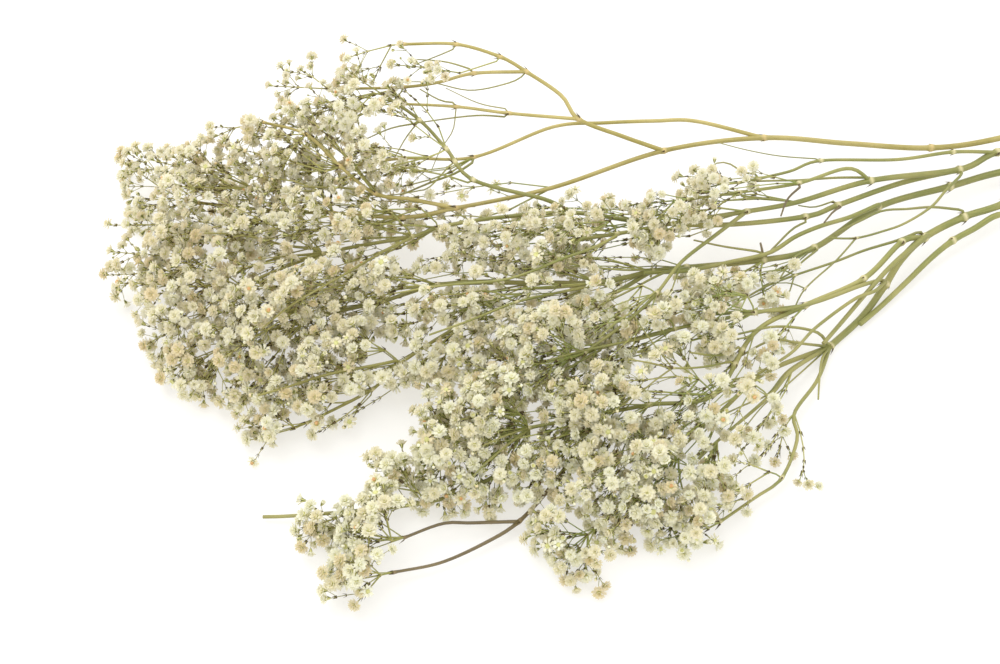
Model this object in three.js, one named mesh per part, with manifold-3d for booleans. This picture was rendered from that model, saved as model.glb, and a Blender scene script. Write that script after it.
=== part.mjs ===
// A dried gypsophila stem lying on a flat surface. Millimetres, +Z up.
// +X runs to the cut end of the main stem and -X to the flowering tips.
// The main stem forks into limbs, each joint of a limb is a swollen node, and
// every node near a tip carries a spray: a thin shoot with opposite side shoots,
// each of them ending in a floret.

import * as THREE from 'three';
import { mergeVertices } from 'three/addons/utils/BufferGeometryUtils.js';
import Module from 'manifold-3d';

const manifold = await Module();
manifold.setup();

// ---- Driving dimensions -------------------------------------------------

const JOINT_GAP = 0.3;          // between a limb or spray and what carries it
const CLEARANCE = 0.4;          // least distance between shoots that pass each other

const NODE_SWELL = 1.4;         // a node's radius over the limb's radius
const NODE_HALF_LENGTH = 3.0;
const LIMB_STEP = 40.0;         // longest stretch between two rings of a limb
const ELBOW_RISE = 1.25;        // from a root to its elbow, over the radius of what grows there

const SHOOT_BASE_RADIUS = 0.75;
const SHOOT_TIP_RADIUS = 0.55;
const SIDE_SHOOT_RADIUS = 0.55;
const SHOOT_NODE_LENGTH = 1.3;  // the short stretch whose faces side shoots grow from
const SIDE_SHOOT_LENGTH = 24.0; // at the lowest node of a shoot
const SIDE_SHOOT_TAPER = 0.45;  // how much shorter at the shoot's tip
const SPREAD_ANGLE = 42.0;      // between a side shoot and its shoot, degrees
const SPREAD_VARIATION = 14.0;

const OPEN_SHARE = 0.4;         // florets that are open stars, the others are half open
const OPEN_RADIUS = 3.6;
const OPEN_HEIGHT = 3.2;
const NOTCH_RADIUS = 2.1;
const HALF_OPEN_RADIUS = 2.6;
const HALF_OPEN_HEIGHT = 4.4;
const RIM_HEIGHT = 2.3;         // of a floret's widest ring, above its neck
const NECK_RADIUS = 0.5;
const FLORET_REACH = 3.7;       // radius of the ball that holds any floret

// Limbs: what each one grows from (a limb and the number of its waypoint), the
// waypoints that follow, and the radius at both ends. Waypoint 0 is on the carrier.
const LIMBS = {
  main: {
    node: 'main_stem', radii: [3.3, 3.0], sides: 8,
    route: [[360, 172, 3.05], [325, 160, 3.4], [292, 148, 5.5], [278, 142, 6.5]],
  },
  back: {
    node: 'limb_back', from: ['main', 1], radii: [2.1, 0.9], sides: 6,
    route: [
      [285, 160, 12], [250, 145, 15], [185, 120, 18], [140, 110, 20], [90, 110, 24],
      [40, 110, 29], [-20, 95, 35], [-85, 65, 38], [-140, 50, 38], [-170, 45, 36],
      [-210, 52, 31], [-250, 60, 24], [-290, 70, 18],
    ],
  },
  back_low: {
    node: 'limb_back', from: ['back', 6], radii: [1.3, 0.8], sides: 4,
    route: [
      [0, 115, 38], [-25, 110, 44], [-55, 105, 48], [-85, 100, 50], [-130, 80, 47],
      [-170, 80, 46], [-200, 75, 45],
    ],
  },
  back_arch: {
    node: 'limb_back', from: ['back', 7], radii: [1.4, 0.9], sides: 4,
    route: [
      [-45, 95, 48], [-70, 100, 57], [-80, 110, 66], [-100, 120, 75], [-115, 125, 82],
      [-140, 130, 87], [-170, 130, 87],
    ],
  },
  back_arch_middle: {
    node: 'limb_back', from: ['back_arch', 4], radii: [1.1, 0.8], sides: 4,
    route: [[-130, 115, 79], [-150, 110, 77], [-170, 110, 73], [-205, 115, 66]],
  },
  back_arch_low: {
    node: 'limb_back', from: ['back_arch', 2], radii: [1.1, 0.8], sides: 4,
    route: [[-110, 100, 62], [-140, 105, 62], [-175, 110, 59]],
  },
  back_tip: {
    node: 'limb_back', from: ['back', 9], radii: [1.2, 0.8], sides: 4,
    route: [[-165, 50, 46], [-185, 50, 51], [-205, 65, 57], [-225, 85, 61], [-250, 95, 60]],
  },
  upper: {
    node: 'limb_upper', from: ['main', 3], radii: [2.3, 1.0], sides: 6,
    route: [
      [220, 122, 12], [180, 110, 16], [155, 95, 18], [100, 80, 26], [55, 60, 31],
      [25, 50, 35], [-10, 40, 39], [-50, 30, 40], [-80, 25, 40],
    ],
  },
  upper_high: {
    node: 'limb_upper', from: ['upper', 2], radii: [1.2, 0.8], sides: 4,
    route: [[150, 100, 28], [115, 90, 33], [70, 85, 38], [50, 75, 40], [20, 65, 42]],
  },
  upper_short: {
    node: 'limb_upper', from: ['upper', 4], radii: [1.2, 0.8], sides: 4,
    route: [[85, 80, 37], [55, 65, 42], [20, 55, 46], [-10, 50, 46]],
  },
  upper_long: {
    node: 'limb_upper', from: ['upper', 3], radii: [1.7, 0.9], sides: 6,
    route: [
      [120, 85, 18], [80, 65, 22], [60, 55, 24], [10, 45, 29], [-35, 45, 32],
      [-75, 50, 34], [-120, 45, 35], [-150, 40, 33], [-165, 35, 31], [-215, 25, 28],
      [-260, 5, 24], [-280, -10, 20],
    ],
  },
  upper_diagonal: {
    node: 'limb_upper', from: ['upper_long', 6], radii: [1.3, 0.9], sides: 4,
    route: [[-90, 50, 46], [-130, 55, 57], [-145, 70, 66], [-160, 85, 73], [-180, 100, 77]],
  },
  upper_front: {
    node: 'limb_upper', from: ['upper', 6], radii: [1.2, 0.8], sides: 4,
    route: [[5, 30, 38], [-15, 8, 43], [-30, -15, 45], [-45, -32, 45], [-70, -52, 42]],
  },
  middle: {
    node: 'limb_middle', from: ['main', 2], radii: [2.4, 0.9], sides: 6,
    route: [
      [225, 112, 7], [180, 100, 9], [150, 88, 11], [105, 70, 14], [65, 40, 14],
      [35, 30, 16], [-10, 20, 22], [-30, 15, 25], [-60, 5, 28], [-95, 5, 28],
      [-150, 5, 26], [-180, -5, 24], [-220, -15, 22], [-260, -30, 20],
    ],
  },
  middle_front: {
    node: 'limb_middle', from: ['middle', 8], radii: [1.3, 0.8], sides: 4,
    route: [
      [-60, 0, 19], [-105, -8, 17], [-135, -15, 16], [-170, -40, 14], [-185, -55, 11],
      [-220, -75, 8],
    ],
  },
  front: {
    node: 'limb_front', from: ['main', 1], radii: [2.6, 1.9], sides: 6,
    route: [
      [290, 135, 8], [245, 108, 9], [180, 75, 11], [155, 65, 11], [130, 50, 11],
      [115, 35, 9], [105, 20, 6], [90, 0, 2.2], [70, -20, 1.7],
    ],
  },
  front_long: {
    node: 'limb_front', from: ['front', 5], radii: [1.7, 0.9], sides: 6,
    route: [
      [115, 42, 17], [90, 15, 18], [55, -5, 20], [25, -25, 22], [0, -65, 21],
      [-35, -72, 22], [-65, -80, 24], [-100, -88, 24], [-130, -95, 22],
    ],
  },
  front_upper: {
    node: 'limb_front', from: ['front_long', 3], radii: [1.2, 0.8], sides: 4,
    route: [[25, -15, 27], [-20, -28, 30], [-60, -40, 30], [-95, -50, 29]],
  },
  front_middle: {
    node: 'limb_front', from: ['front', 9], radii: [1.5, 0.8], sides: 4,
    route: [[30, -45, 12], [5, -70, 13], [-20, -95, 13], [-40, -118, 12], [-65, -140, 9]],
  },
  front_low: {
    node: 'limb_front', from: ['front', 9], radii: [1.2, 0.8], sides: 4,
    route: [[60, -45, 5], [45, -68, 7], [45, -85, 8], [35, -108, 6], [20, -120, 6], [0, -135, 6]],
  },
  front_high: {
    node: 'limb_front', from: ['front', 9], radii: [1.2, 0.8], sides: 4,
    route: [[45, -45, 15], [30, -65, 19], [0, -95, 22], [-15, -110, 21]],
  },
  brown: {
    node: 'twig_brown', from: ['front_long', 7], radii: [1.3, 0.8], sides: 4,
    route: [
      [-75, -100, 18], [-90, -120, 13], [-105, -135, 7], [-120, -145, 5],
      [-145, -158, 5], [-170, -165, 7],
    ],
  },
  brown_side: {
    node: 'twig_brown', from: ['brown', 3], radii: [1.0, 0.8], sides: 4,
    route: [[-130, -137, 9], [-145, -138, 10], [-165, -147, 11]],
  },
  bare: {
    node: 'twig_bare', from: ['front_long', 8], radii: [1.2, 1.0], sides: 4,
    route: [
      [-115, -110, 16], [-135, -120, 12], [-155, -125, 9], [-190, -128, 6],
      [-225, -130, 4], [-240, -130, 3],
    ],
  },
};

// Sprays: the limb and waypoint that carry each one, then the tips of its shoots.
// The first tip is the main shoot's, and any other leaves it near its base.
const SPRAYS = [
  ['back_arch', 7, [[-204, 127, 79], [-188, 119, 68]]],
  ['back_arch', 5, [[-176, 110, 92]]],
  ['back_arch_middle', 4, [[-249, 128, 55], [-231, 135, 61]]],
  ['back_arch_middle', 3, [[-231, 104, 61], [-202, 111, 88], [-214, 124, 57]]],
  ['back_arch_low', 3, [[-213, 101, 48], [-205, 92, 62]]],
  ['back_tip', 5, [[-278, 91, 53]]],
  ['back_tip', 4, [[-264, 74, 48], [-247, 61, 40]]],
  ['back_tip', 3, [[-246, 68, 66], [-236, 89, 50]]],
  ['back_low', 7, [[-238, 74, 38], [-220, 87, 37]]],
  ['back_low', 6, [[-199, 80, 57]]],
  ['back', 13, [[-341, 107, 13], [-334, 82, 9], [-322, 110, 20]]],
  ['back', 12, [[-316, 87, 37], [-305, 104, 11], [-305, 60, 46]]],
  ['back', 11, [[-286, 75, 42], [-284, 79, 18]]],
  ['upper_diagonal', 5, [[-217, 101, 73], [-201, 75, 81]]],
  ['upper_diagonal', 3, [[-197, 60, 77], [-210, 57, 55]]],
  ['upper_long', 12, [[-312, -27, 13], [-295, -29, 31]]],
  ['upper_long', 11, [[-338, 19, 17], [-313, -12, 35], [-333, 25, 31]]],
  ['upper_long', 10, [[-338, 48, 26], [-309, 23, 44], [-299, 0, 42]]],
  ['upper_long', 9, [[-276, 21, 46], [-262, 34, 51]]],
  ['upper_long', 8, [[-247, 24, 42], [-232, 32, 46]]],
  ['middle', 14, [[-300, -41, 9], [-284, -59, 11]]],
  ['middle', 13, [[-281, -33, 31], [-267, -61, 9], [-265, -53, 37]]],
  ['middle', 12, [[-260, -9, 40], [-241, -50, 7], [-251, -25, 35]]],
  ['middle', 11, [[-222, -15, 38], [-209, 7, 42]]],
  ['middle_front', 6, [[-251, -85, 7], [-231, -74, 15]]],
  ['middle_front', 5, [[-243, -67, 18], [-223, -56, 28]]],
  ['middle_front', 4, [[-217, -39, 31], [-197, -37, 28]]],
  ['upper_high', 5, [[-6, 70, 38], [-2, 62, 52]]],
  ['upper_short', 4, [[-45, 49, 42], [-30, 25, 55]]],
  ['upper', 9, [[-123, 23, 38], [-115, 14, 28]]],
  ['upper', 8, [[-93, 25, 51], [-90, 9, 42], [-88, 17, 28]]],
  ['upper_long', 6, [[-140, 24, 42], [-159, 6, 38]]],
  ['middle', 10, [[-161, -24, 42], [-178, -23, 22]]],
  ['middle', 9, [[-131, -13, 40]]],
  ['upper_front', 5, [[-112, -43, 37], [-94, -37, 53], [-99, -67, 33]]],
  ['upper_front', 3, [[-67, -27, 55], [-60, -30, 28]]],
  ['front_upper', 4, [[-134, -58, 26], [-121, -33, 13]]],
  ['front_upper', 3, [[-99, -56, 46], [-82, -53, 13]]],
  ['front_upper', 2, [[-56, -33, 46], [-60, -45, 20]]],
  ['front_upper', 1, [[-26, -26, 40], [-22, -34, 18], [-4, -7, 28]]],
  ['front_long', 9, [[-161, -73, 18], [-149, -103, 31]]],
  ['front_long', 8, [[-126, -77, 38], [-120, -97, 11], [-138, -94, 42]]],
  ['front_long', 6, [[-86, -75, 46], [-79, -107, 33], [-91, -85, 13]]],
  ['front_long', 5, [[-52, -71, 44], [-55, -93, 35], [-30, -50, 40]]],
  ['front_high', 4, [[-45, -111, 35], [-34, -130, 20]]],
  ['front_high', 2, [[-15, -81, 40], [4, -95, 28], [-21, -104, 38]]],
  ['front_middle', 5, [[-87, -158, 7], [-71, -167, 8], [-94, -146, 18]]],
  ['front_middle', 3, [[-69, -127, 37], [-61, -144, 24], [-84, -136, 31]]],
  ['front_low', 6, [[-32, -146, 7], [-17, -137, 22]]],
  ['front_low', 4, [[6, -124, 11], [8, -108, 24]]],
  ['brown', 6, [[-202, -173, 9], [-189, -184, 8], [-191, -165, 20]]],
  ['brown_side', 3, [[-198, -146, 13], [-179, -143, 22]]],
  ['bare', 3, [[-183, -120, 18], [-168, -110, 22]]],
];

// ---- Small helpers ------------------------------------------------------

const vector = (x, y, z) => new THREE.Vector3(x, y, z);
const UP = vector(0, 0, 1);

// Two directions square to a given one, the first of them level
function squareFrame(direction) {
  const level = direction.clone().cross(UP);
  if (level.length() < 0.05) level.set(1, 0, 0);
  level.normalize();
  return [level, level.clone().cross(direction).normalize()];
}

// Repeatable random numbers from 0 to 1 (the mulberry32 generator)
function seededRandom(seed) {
  let state = seed >>> 0;
  return () => {
    state = (state + 0x6d2b79f5) >>> 0;
    let value = Math.imul(state ^ (state >>> 15), 1 | state);
    value = (value + Math.imul(value ^ (value >>> 7), 61 | value)) ^ value;
    return ((value ^ (value >>> 14)) >>> 0) / 4294967296;
  };
}

// ---- A mesh built ring by ring ------------------------------------------

class RingMesh {
  points = [];
  faces = [];

  // A polygon round a centre. Its first corner is turned from level, or it lies flat side down.
  ring(centre, direction, radius, sides, first = -Math.PI / 2 + Math.PI / sides) {
    return this.round(centre, direction, sides, first, () => radius);
  }

  // A ring of five points with notches between them
  star(centre, direction, pointRadius, notchRadius, first) {
    const radius = (corner) => (corner % 2 === 0 ? pointRadius : notchRadius);
    return this.round(centre, direction, 10, first, radius);
  }

  round(centre, direction, count, first, radiusOf) {
    const [level, upward] = squareFrame(direction);
    return Array.from({ length: count }, (_, corner) => {
      const angle = first + (2 * Math.PI * corner) / count;
      const radius = radiusOf(corner);
      return this.point(centre.clone()
        .addScaledVector(level, -radius * Math.cos(angle))
        .addScaledVector(upward, radius * Math.sin(angle)));
    });
  }

  point(position) {
    return this.points.push(position.clone()) - 1;
  }

  // A ring's corners, seen from its middle
  offsets(ring) {
    const middle = ring.reduce((sum, corner) => sum.add(this.points[corner]), vector(0, 0, 0));
    middle.divideScalar(ring.length);
    return ring.map((corner) => this.points[corner].clone().sub(middle));
  }

  // The first corner's angle for a ring across a direction that continues another ring untwisted
  firstAngleAfter(ring, direction) {
    const [level, upward] = squareFrame(direction);
    let across = 0;
    let up = 0;
    this.offsets(ring).forEach((offset, corner) => {
      const turn = (2 * Math.PI * corner) / ring.length;
      const x = -offset.dot(level);
      const y = offset.dot(upward);
      across += x * Math.cos(turn) + y * Math.sin(turn);
      up += y * Math.cos(turn) - x * Math.sin(turn);
    });
    return Math.atan2(up, across);
  }

  // The same ring, started from the corner that lines it up best with another ring
  linedUp(ring, target) {
    const own = this.offsets(ring);
    const other = this.offsets(target);
    const match = (shift) => other.reduce(
      (sum, offset, index) => sum + offset.dot(own[(index + shift) % own.length]), 0);
    const shifts = ring.map((_, shift) => shift);
    const best = shifts.reduce((kept, shift) => (match(shift) > match(kept) ? shift : kept));
    return ring.map((_, index) => ring[(index + best) % ring.length]);
  }

  // Walls between two rings with equal numbers of corners, each split by its shorter
  // diagonal; returns the number of each wall's first face
  wall(lower, upper) {
    const ring = this.linedUp(lower, upper);
    return ring.map((corner, side) => {
      const next = ring[(side + 1) % ring.length];
      const above = upper[side];
      const aboveNext = upper[(side + 1) % ring.length];
      const span = (a, b) => this.points[a].distanceTo(this.points[b]);
      const leansRight = span(corner, aboveNext) <= span(next, above);
      const first = this.faces.push([corner, next, leansRight ? aboveNext : above]) - 1;
      this.faces.push(leansRight ? [corner, aboveNext, above] : [next, aboveNext, above]);
      return first;
    });
  }

  // Walls between rings with different numbers of corners
  stitch(lower, upper) {
    let low = 0;
    let high = 0;
    while (low < lower.length || high < upper.length) {
      const lowerNext = (low + 0.5) / lower.length;
      const upperNext = (high + 0.5) / upper.length;
      const a = lower[low % lower.length];
      const b = upper[high % upper.length];
      if (high >= upper.length || (low < lower.length && lowerNext <= upperNext)) {
        this.faces.push([a, lower[(low + 1) % lower.length], b]);
        low += 1;
      } else {
        this.faces.push([a, upper[(high + 1) % upper.length], b]);
        high += 1;
      }
    }
  }

  cap(ring, facesForward) {
    for (let corner = 1; corner < ring.length - 1; corner += 1) {
      const face = [ring[0], ring[corner], ring[corner + 1]];
      this.faces.push(facesForward ? face : face.reverse());
    }
  }

  geometry() {
    const geometry = new THREE.BufferGeometry();
    const positions = this.points.flatMap((point) => point.toArray());
    geometry.setAttribute('position', new THREE.Float32BufferAttribute(positions, 3));
    geometry.setIndex(this.faces.filter((face) => face).flat());
    return geometry;
  }
}

// ---- Limbs --------------------------------------------------------------

const SURFACE_BOX_SIZE = 1000;

// The limb's centre line: waypoint number in, place or direction out
class LimbPath {
  constructor(points) {
    this.points = points;
    this.curve = new THREE.CatmullRomCurve3(points, false, 'catmullrom', 0.5);
  }

  get last() {
    return this.points.length - 1;
  }

  at(waypoint) {
    return this.curve.getPoint(waypoint / this.last);
  }

  direction(waypoint) {
    const step = 0.02;
    const before = this.at(Math.max(waypoint - step, 0));
    const after = this.at(Math.min(waypoint + step, this.last));
    return after.sub(before).normalize();
  }

  chord(waypoint) {
    const first = THREE.MathUtils.clamp(waypoint, 0, this.last - 1);
    return this.points[first].distanceTo(this.points[first + 1]);
  }
}

class Limb {
  constructor(name, limbs) {
    const { node, from, radii, sides, route } = LIMBS[name];
    Object.assign(this, { name, node, radii, sides, knots: new Set(), start: [] });
    const points = route.map((place) => vector(...place));
    if (from) {
      const carrier = limbs[from[0]];
      carrier.knots.add(from[1]);
      if (carrier.node === node) {
        points.unshift(carrier.path.at(from[1]));
      } else {
        const seat = carrier.seat(from[1], points[0], radii[0]);
        this.start = seat.start;
        points.unshift(seat.elbow);
      }
    }
    this.path = new LimbPath(points);
  }

  radiusAt(waypoint) {
    return THREE.MathUtils.lerp(this.radii[0], this.radii[1], waypoint / this.path.last);
  }

  // Where something of a given radius grows from a knot towards a target. On a limb's
  // last waypoint it carries on ahead, elsewhere it leaves square and turns at an elbow.
  seat(waypoint, target, radius) {
    const centre = this.path.at(waypoint);
    const along = this.path.direction(waypoint);
    if (waypoint === this.path.last) {
      return { start: [], elbow: centre.addScaledVector(along, JOINT_GAP), direction: along };
    }
    const outward = target.clone().sub(centre);
    outward.addScaledVector(along, -outward.dot(along)).normalize();
    const rise = this.radiusAt(waypoint) * NODE_SWELL + JOINT_GAP;
    const start = centre.clone().addScaledVector(outward, rise);
    const elbow = start.clone().addScaledVector(outward, ELBOW_RISE * radius);
    return { start: [start], elbow, direction: outward };
  }

  // Places along the limb that get a ring: [waypoint, radius factor]
  stations() {
    const stations = [];
    for (let waypoint = 0; waypoint <= this.path.last; waypoint += 1) {
      const isKnot = this.knots.has(waypoint);
      if (isKnot && waypoint > 0) {
        stations.push([waypoint - NODE_HALF_LENGTH / this.path.chord(waypoint - 1), 1]);
      }
      stations.push([waypoint, isKnot ? NODE_SWELL : 1]);
      if (waypoint < this.path.last) {
        const chord = this.path.chord(waypoint);
        if (isKnot) stations.push([waypoint + NODE_HALF_LENGTH / chord, 1]);
        const steps = Math.ceil(chord / LIMB_STEP);
        for (let step = 1; step < steps; step += 1) stations.push([waypoint + step / steps, 1]);
      }
    }
    return stations;
  }

  solid() {
    const mesh = new RingMesh();
    const stations = this.stations();
    let ring = null;
    let turn = null;
    if (this.start.length > 0) {
      turn = this.path.at(0).sub(this.start[0]).normalize();
      ring = mesh.ring(this.start[0], turn, this.radii[0], this.sides);
      mesh.cap(ring, false);
    }
    for (const [waypoint, factor] of stations) {
      const direction = this.path.direction(waypoint);
      if (turn) direction.add(turn).normalize();
      turn = null;
      const radius = this.radiusAt(waypoint) * factor;
      const next = mesh.ring(this.path.at(waypoint), direction, radius, this.sides);
      if (ring) mesh.wall(ring, next);
      else mesh.cap(next, false);
      ring = next;
    }
    mesh.cap(ring, true);
    return solidOf(mesh.geometry());
  }
}

// ---- Solids -------------------------------------------------------------

function solidOf(geometry) {
  const bare = geometry.clone();
  for (const attribute of ['normal', 'uv']) bare.deleteAttribute(attribute);
  const merged = mergeVertices(bare);
  return new manifold.Manifold(new manifold.Mesh({
    numProp: 3,
    vertProperties: merged.attributes.position.array,
    triVerts: new Uint32Array(merged.index.array),
  }));
}

function geometryOf(solid) {
  const { vertProperties, triVerts } = solid.getMesh();
  const geometry = new THREE.BufferGeometry();
  geometry.setAttribute('position', new THREE.BufferAttribute(vertProperties, 3));
  geometry.setIndex(new THREE.BufferAttribute(triVerts, 1));
  return geometry;
}

// Everything below the surface that the stem lies on
function belowSurface() {
  const box = new THREE.BoxGeometry(SURFACE_BOX_SIZE, SURFACE_BOX_SIZE, SURFACE_BOX_SIZE);
  return solidOf(box.translate(0, 0, -SURFACE_BOX_SIZE / 2));
}

// ---- Room between shoots ------------------------------------------------

// Least distance between the stretches ab and cd
function stretchDistance(a, b, c, d) {
  const ab = b.clone().sub(a);
  const cd = d.clone().sub(c);
  const gap = a.clone().sub(c);
  const abLength = ab.dot(ab);
  const cdLength = cd.dot(cd);
  const across = ab.dot(cd);
  const abGap = ab.dot(gap);
  const cdGap = cd.dot(gap);
  const spread = abLength * cdLength - across * across;
  const clamp = (value) => Math.min(Math.max(value, 0), 1);
  let s = spread > 1e-9 ? clamp((across * cdGap - abGap * cdLength) / spread) : 0;
  const t = cdLength > 1e-9 ? clamp((across * s + cdGap) / cdLength) : 0;
  s = abLength > 1e-9 ? clamp((across * t - abGap) / abLength) : 0;
  return gap.addScaledVector(ab, s).addScaledVector(cd, -t).length();
}

// Every stretch of limb or shoot, and every floret as a ball, taken up so far
class TakenRoom {
  stretches = [];

  add(a, b, radius) {
    this.stretches.push({ a: a.clone(), b: b.clone(), radius });
  }

  isFree(a, b, radius) {
    return this.stretches.every((taken) => {
      const reach = radius + taken.radius + CLEARANCE;
      const farX = Math.max(a.x, b.x) + reach < Math.min(taken.a.x, taken.b.x)
        || Math.min(a.x, b.x) - reach > Math.max(taken.a.x, taken.b.x);
      return farX || stretchDistance(a, b, taken.a, taken.b) >= reach;
    });
  }
}

// ---- Sprays -------------------------------------------------------------

const FLORET_CENTRE = 1.8;      // of the ball that holds it, above its neck
const FLORET_TURN_UP = 0.35;    // how far a floret turns to face up
const SHOOT_ROOT_LENGTH = 4.0;  // stretch of a shoot that is close to its carrier
const SIDE_ROOT_LENGTH = 2.5;   // the same on a side shoot
const LEAST_LEAN = 0.35;        // cosine between a side shoot and its face's outward direction
const FORK_PLACE = 0.2;         // of a shoot's length, where it forks or first bends
const LEAST_BENT_LENGTH = 40.0;
const CURVE_HANDLE = 0.3;       // of a shoot's length, for the curve's two handles

// A shoot that meets something is bent in steps that spiral out from its straight way
const BEND_TRIES = 140;
const BEND_STEP = 1.5;
const BEND_TURN = 137.5;        // degrees from one try to the next
const MOST_BEND = 0.35;         // of a shoot's length
const BEND_SHARES = { root: 0.3, lead: 0.6, tip: 0.4 };

// A side shoot that meets something is turned round its shoot, then shortened:
// [turn in degrees, share of the length]
const SIDE_TRIES = [
  [0, 1], [20, 1], [40, 1], [-20, 1], [60, 0.9], [-35, 0.9], [80, 0.85], [0, 0.8], [30, 0.75],
  [60, 0.7], [90, 0.7], [-30, 0.65], [0, 0.6], [40, 0.55], [80, 0.55],
];

const degrees = THREE.MathUtils.degToRad;

// The direction square to a shoot at a turn round it, in degrees from level
function outwardAt(direction, turn) {
  const [level, upward] = squareFrame(direction);
  const angle = degrees(turn);
  return level.multiplyScalar(Math.cos(angle)).addScaledVector(upward, Math.sin(angle));
}

// The turns round a fork at which one or two branches leave it. Two are 120 degrees
// apart, which is how the walls of a three-sided shoot face.
function forkTurns(centre, direction, tips) {
  const [level, upward] = squareFrame(direction);
  const turns = tips.map((tip) => {
    const way = tip.clone().sub(centre);
    return THREE.MathUtils.radToDeg(Math.atan2(way.dot(upward), way.dot(level)));
  });
  if (turns.length === 1) return turns;
  const between = THREE.MathUtils.euclideanModulo(turns[1] - turns[0] + 180, 360) - 180;
  const handed = between < 0 ? -1 : 1;
  const first = turns[0] + (between - 120 * handed) / 2;
  return [first, first + 120 * handed];
}

// Where a shoot has its knots, as shares of its length
function knotPlaces(length) {
  if (length > 75) return [0.4, 0.6, 0.8];
  return length > 48 ? [0.45, 0.75] : [0.6];
}

// A floret facing along its stalk, turned up a little, its centre at a given place
function floretAt(centre, stalkStart, isOpen) {
  const lifted = centre.clone();
  lifted.z = Math.max(lifted.z, FLORET_REACH);
  const facing = lifted.clone().sub(stalkStart).normalize();
  facing.addScaledVector(UP, FLORET_TURN_UP).normalize();
  const neck = lifted.clone().addScaledVector(facing, -FLORET_CENTRE);
  return { centre: lifted, facing, neck, isOpen };
}

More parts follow.
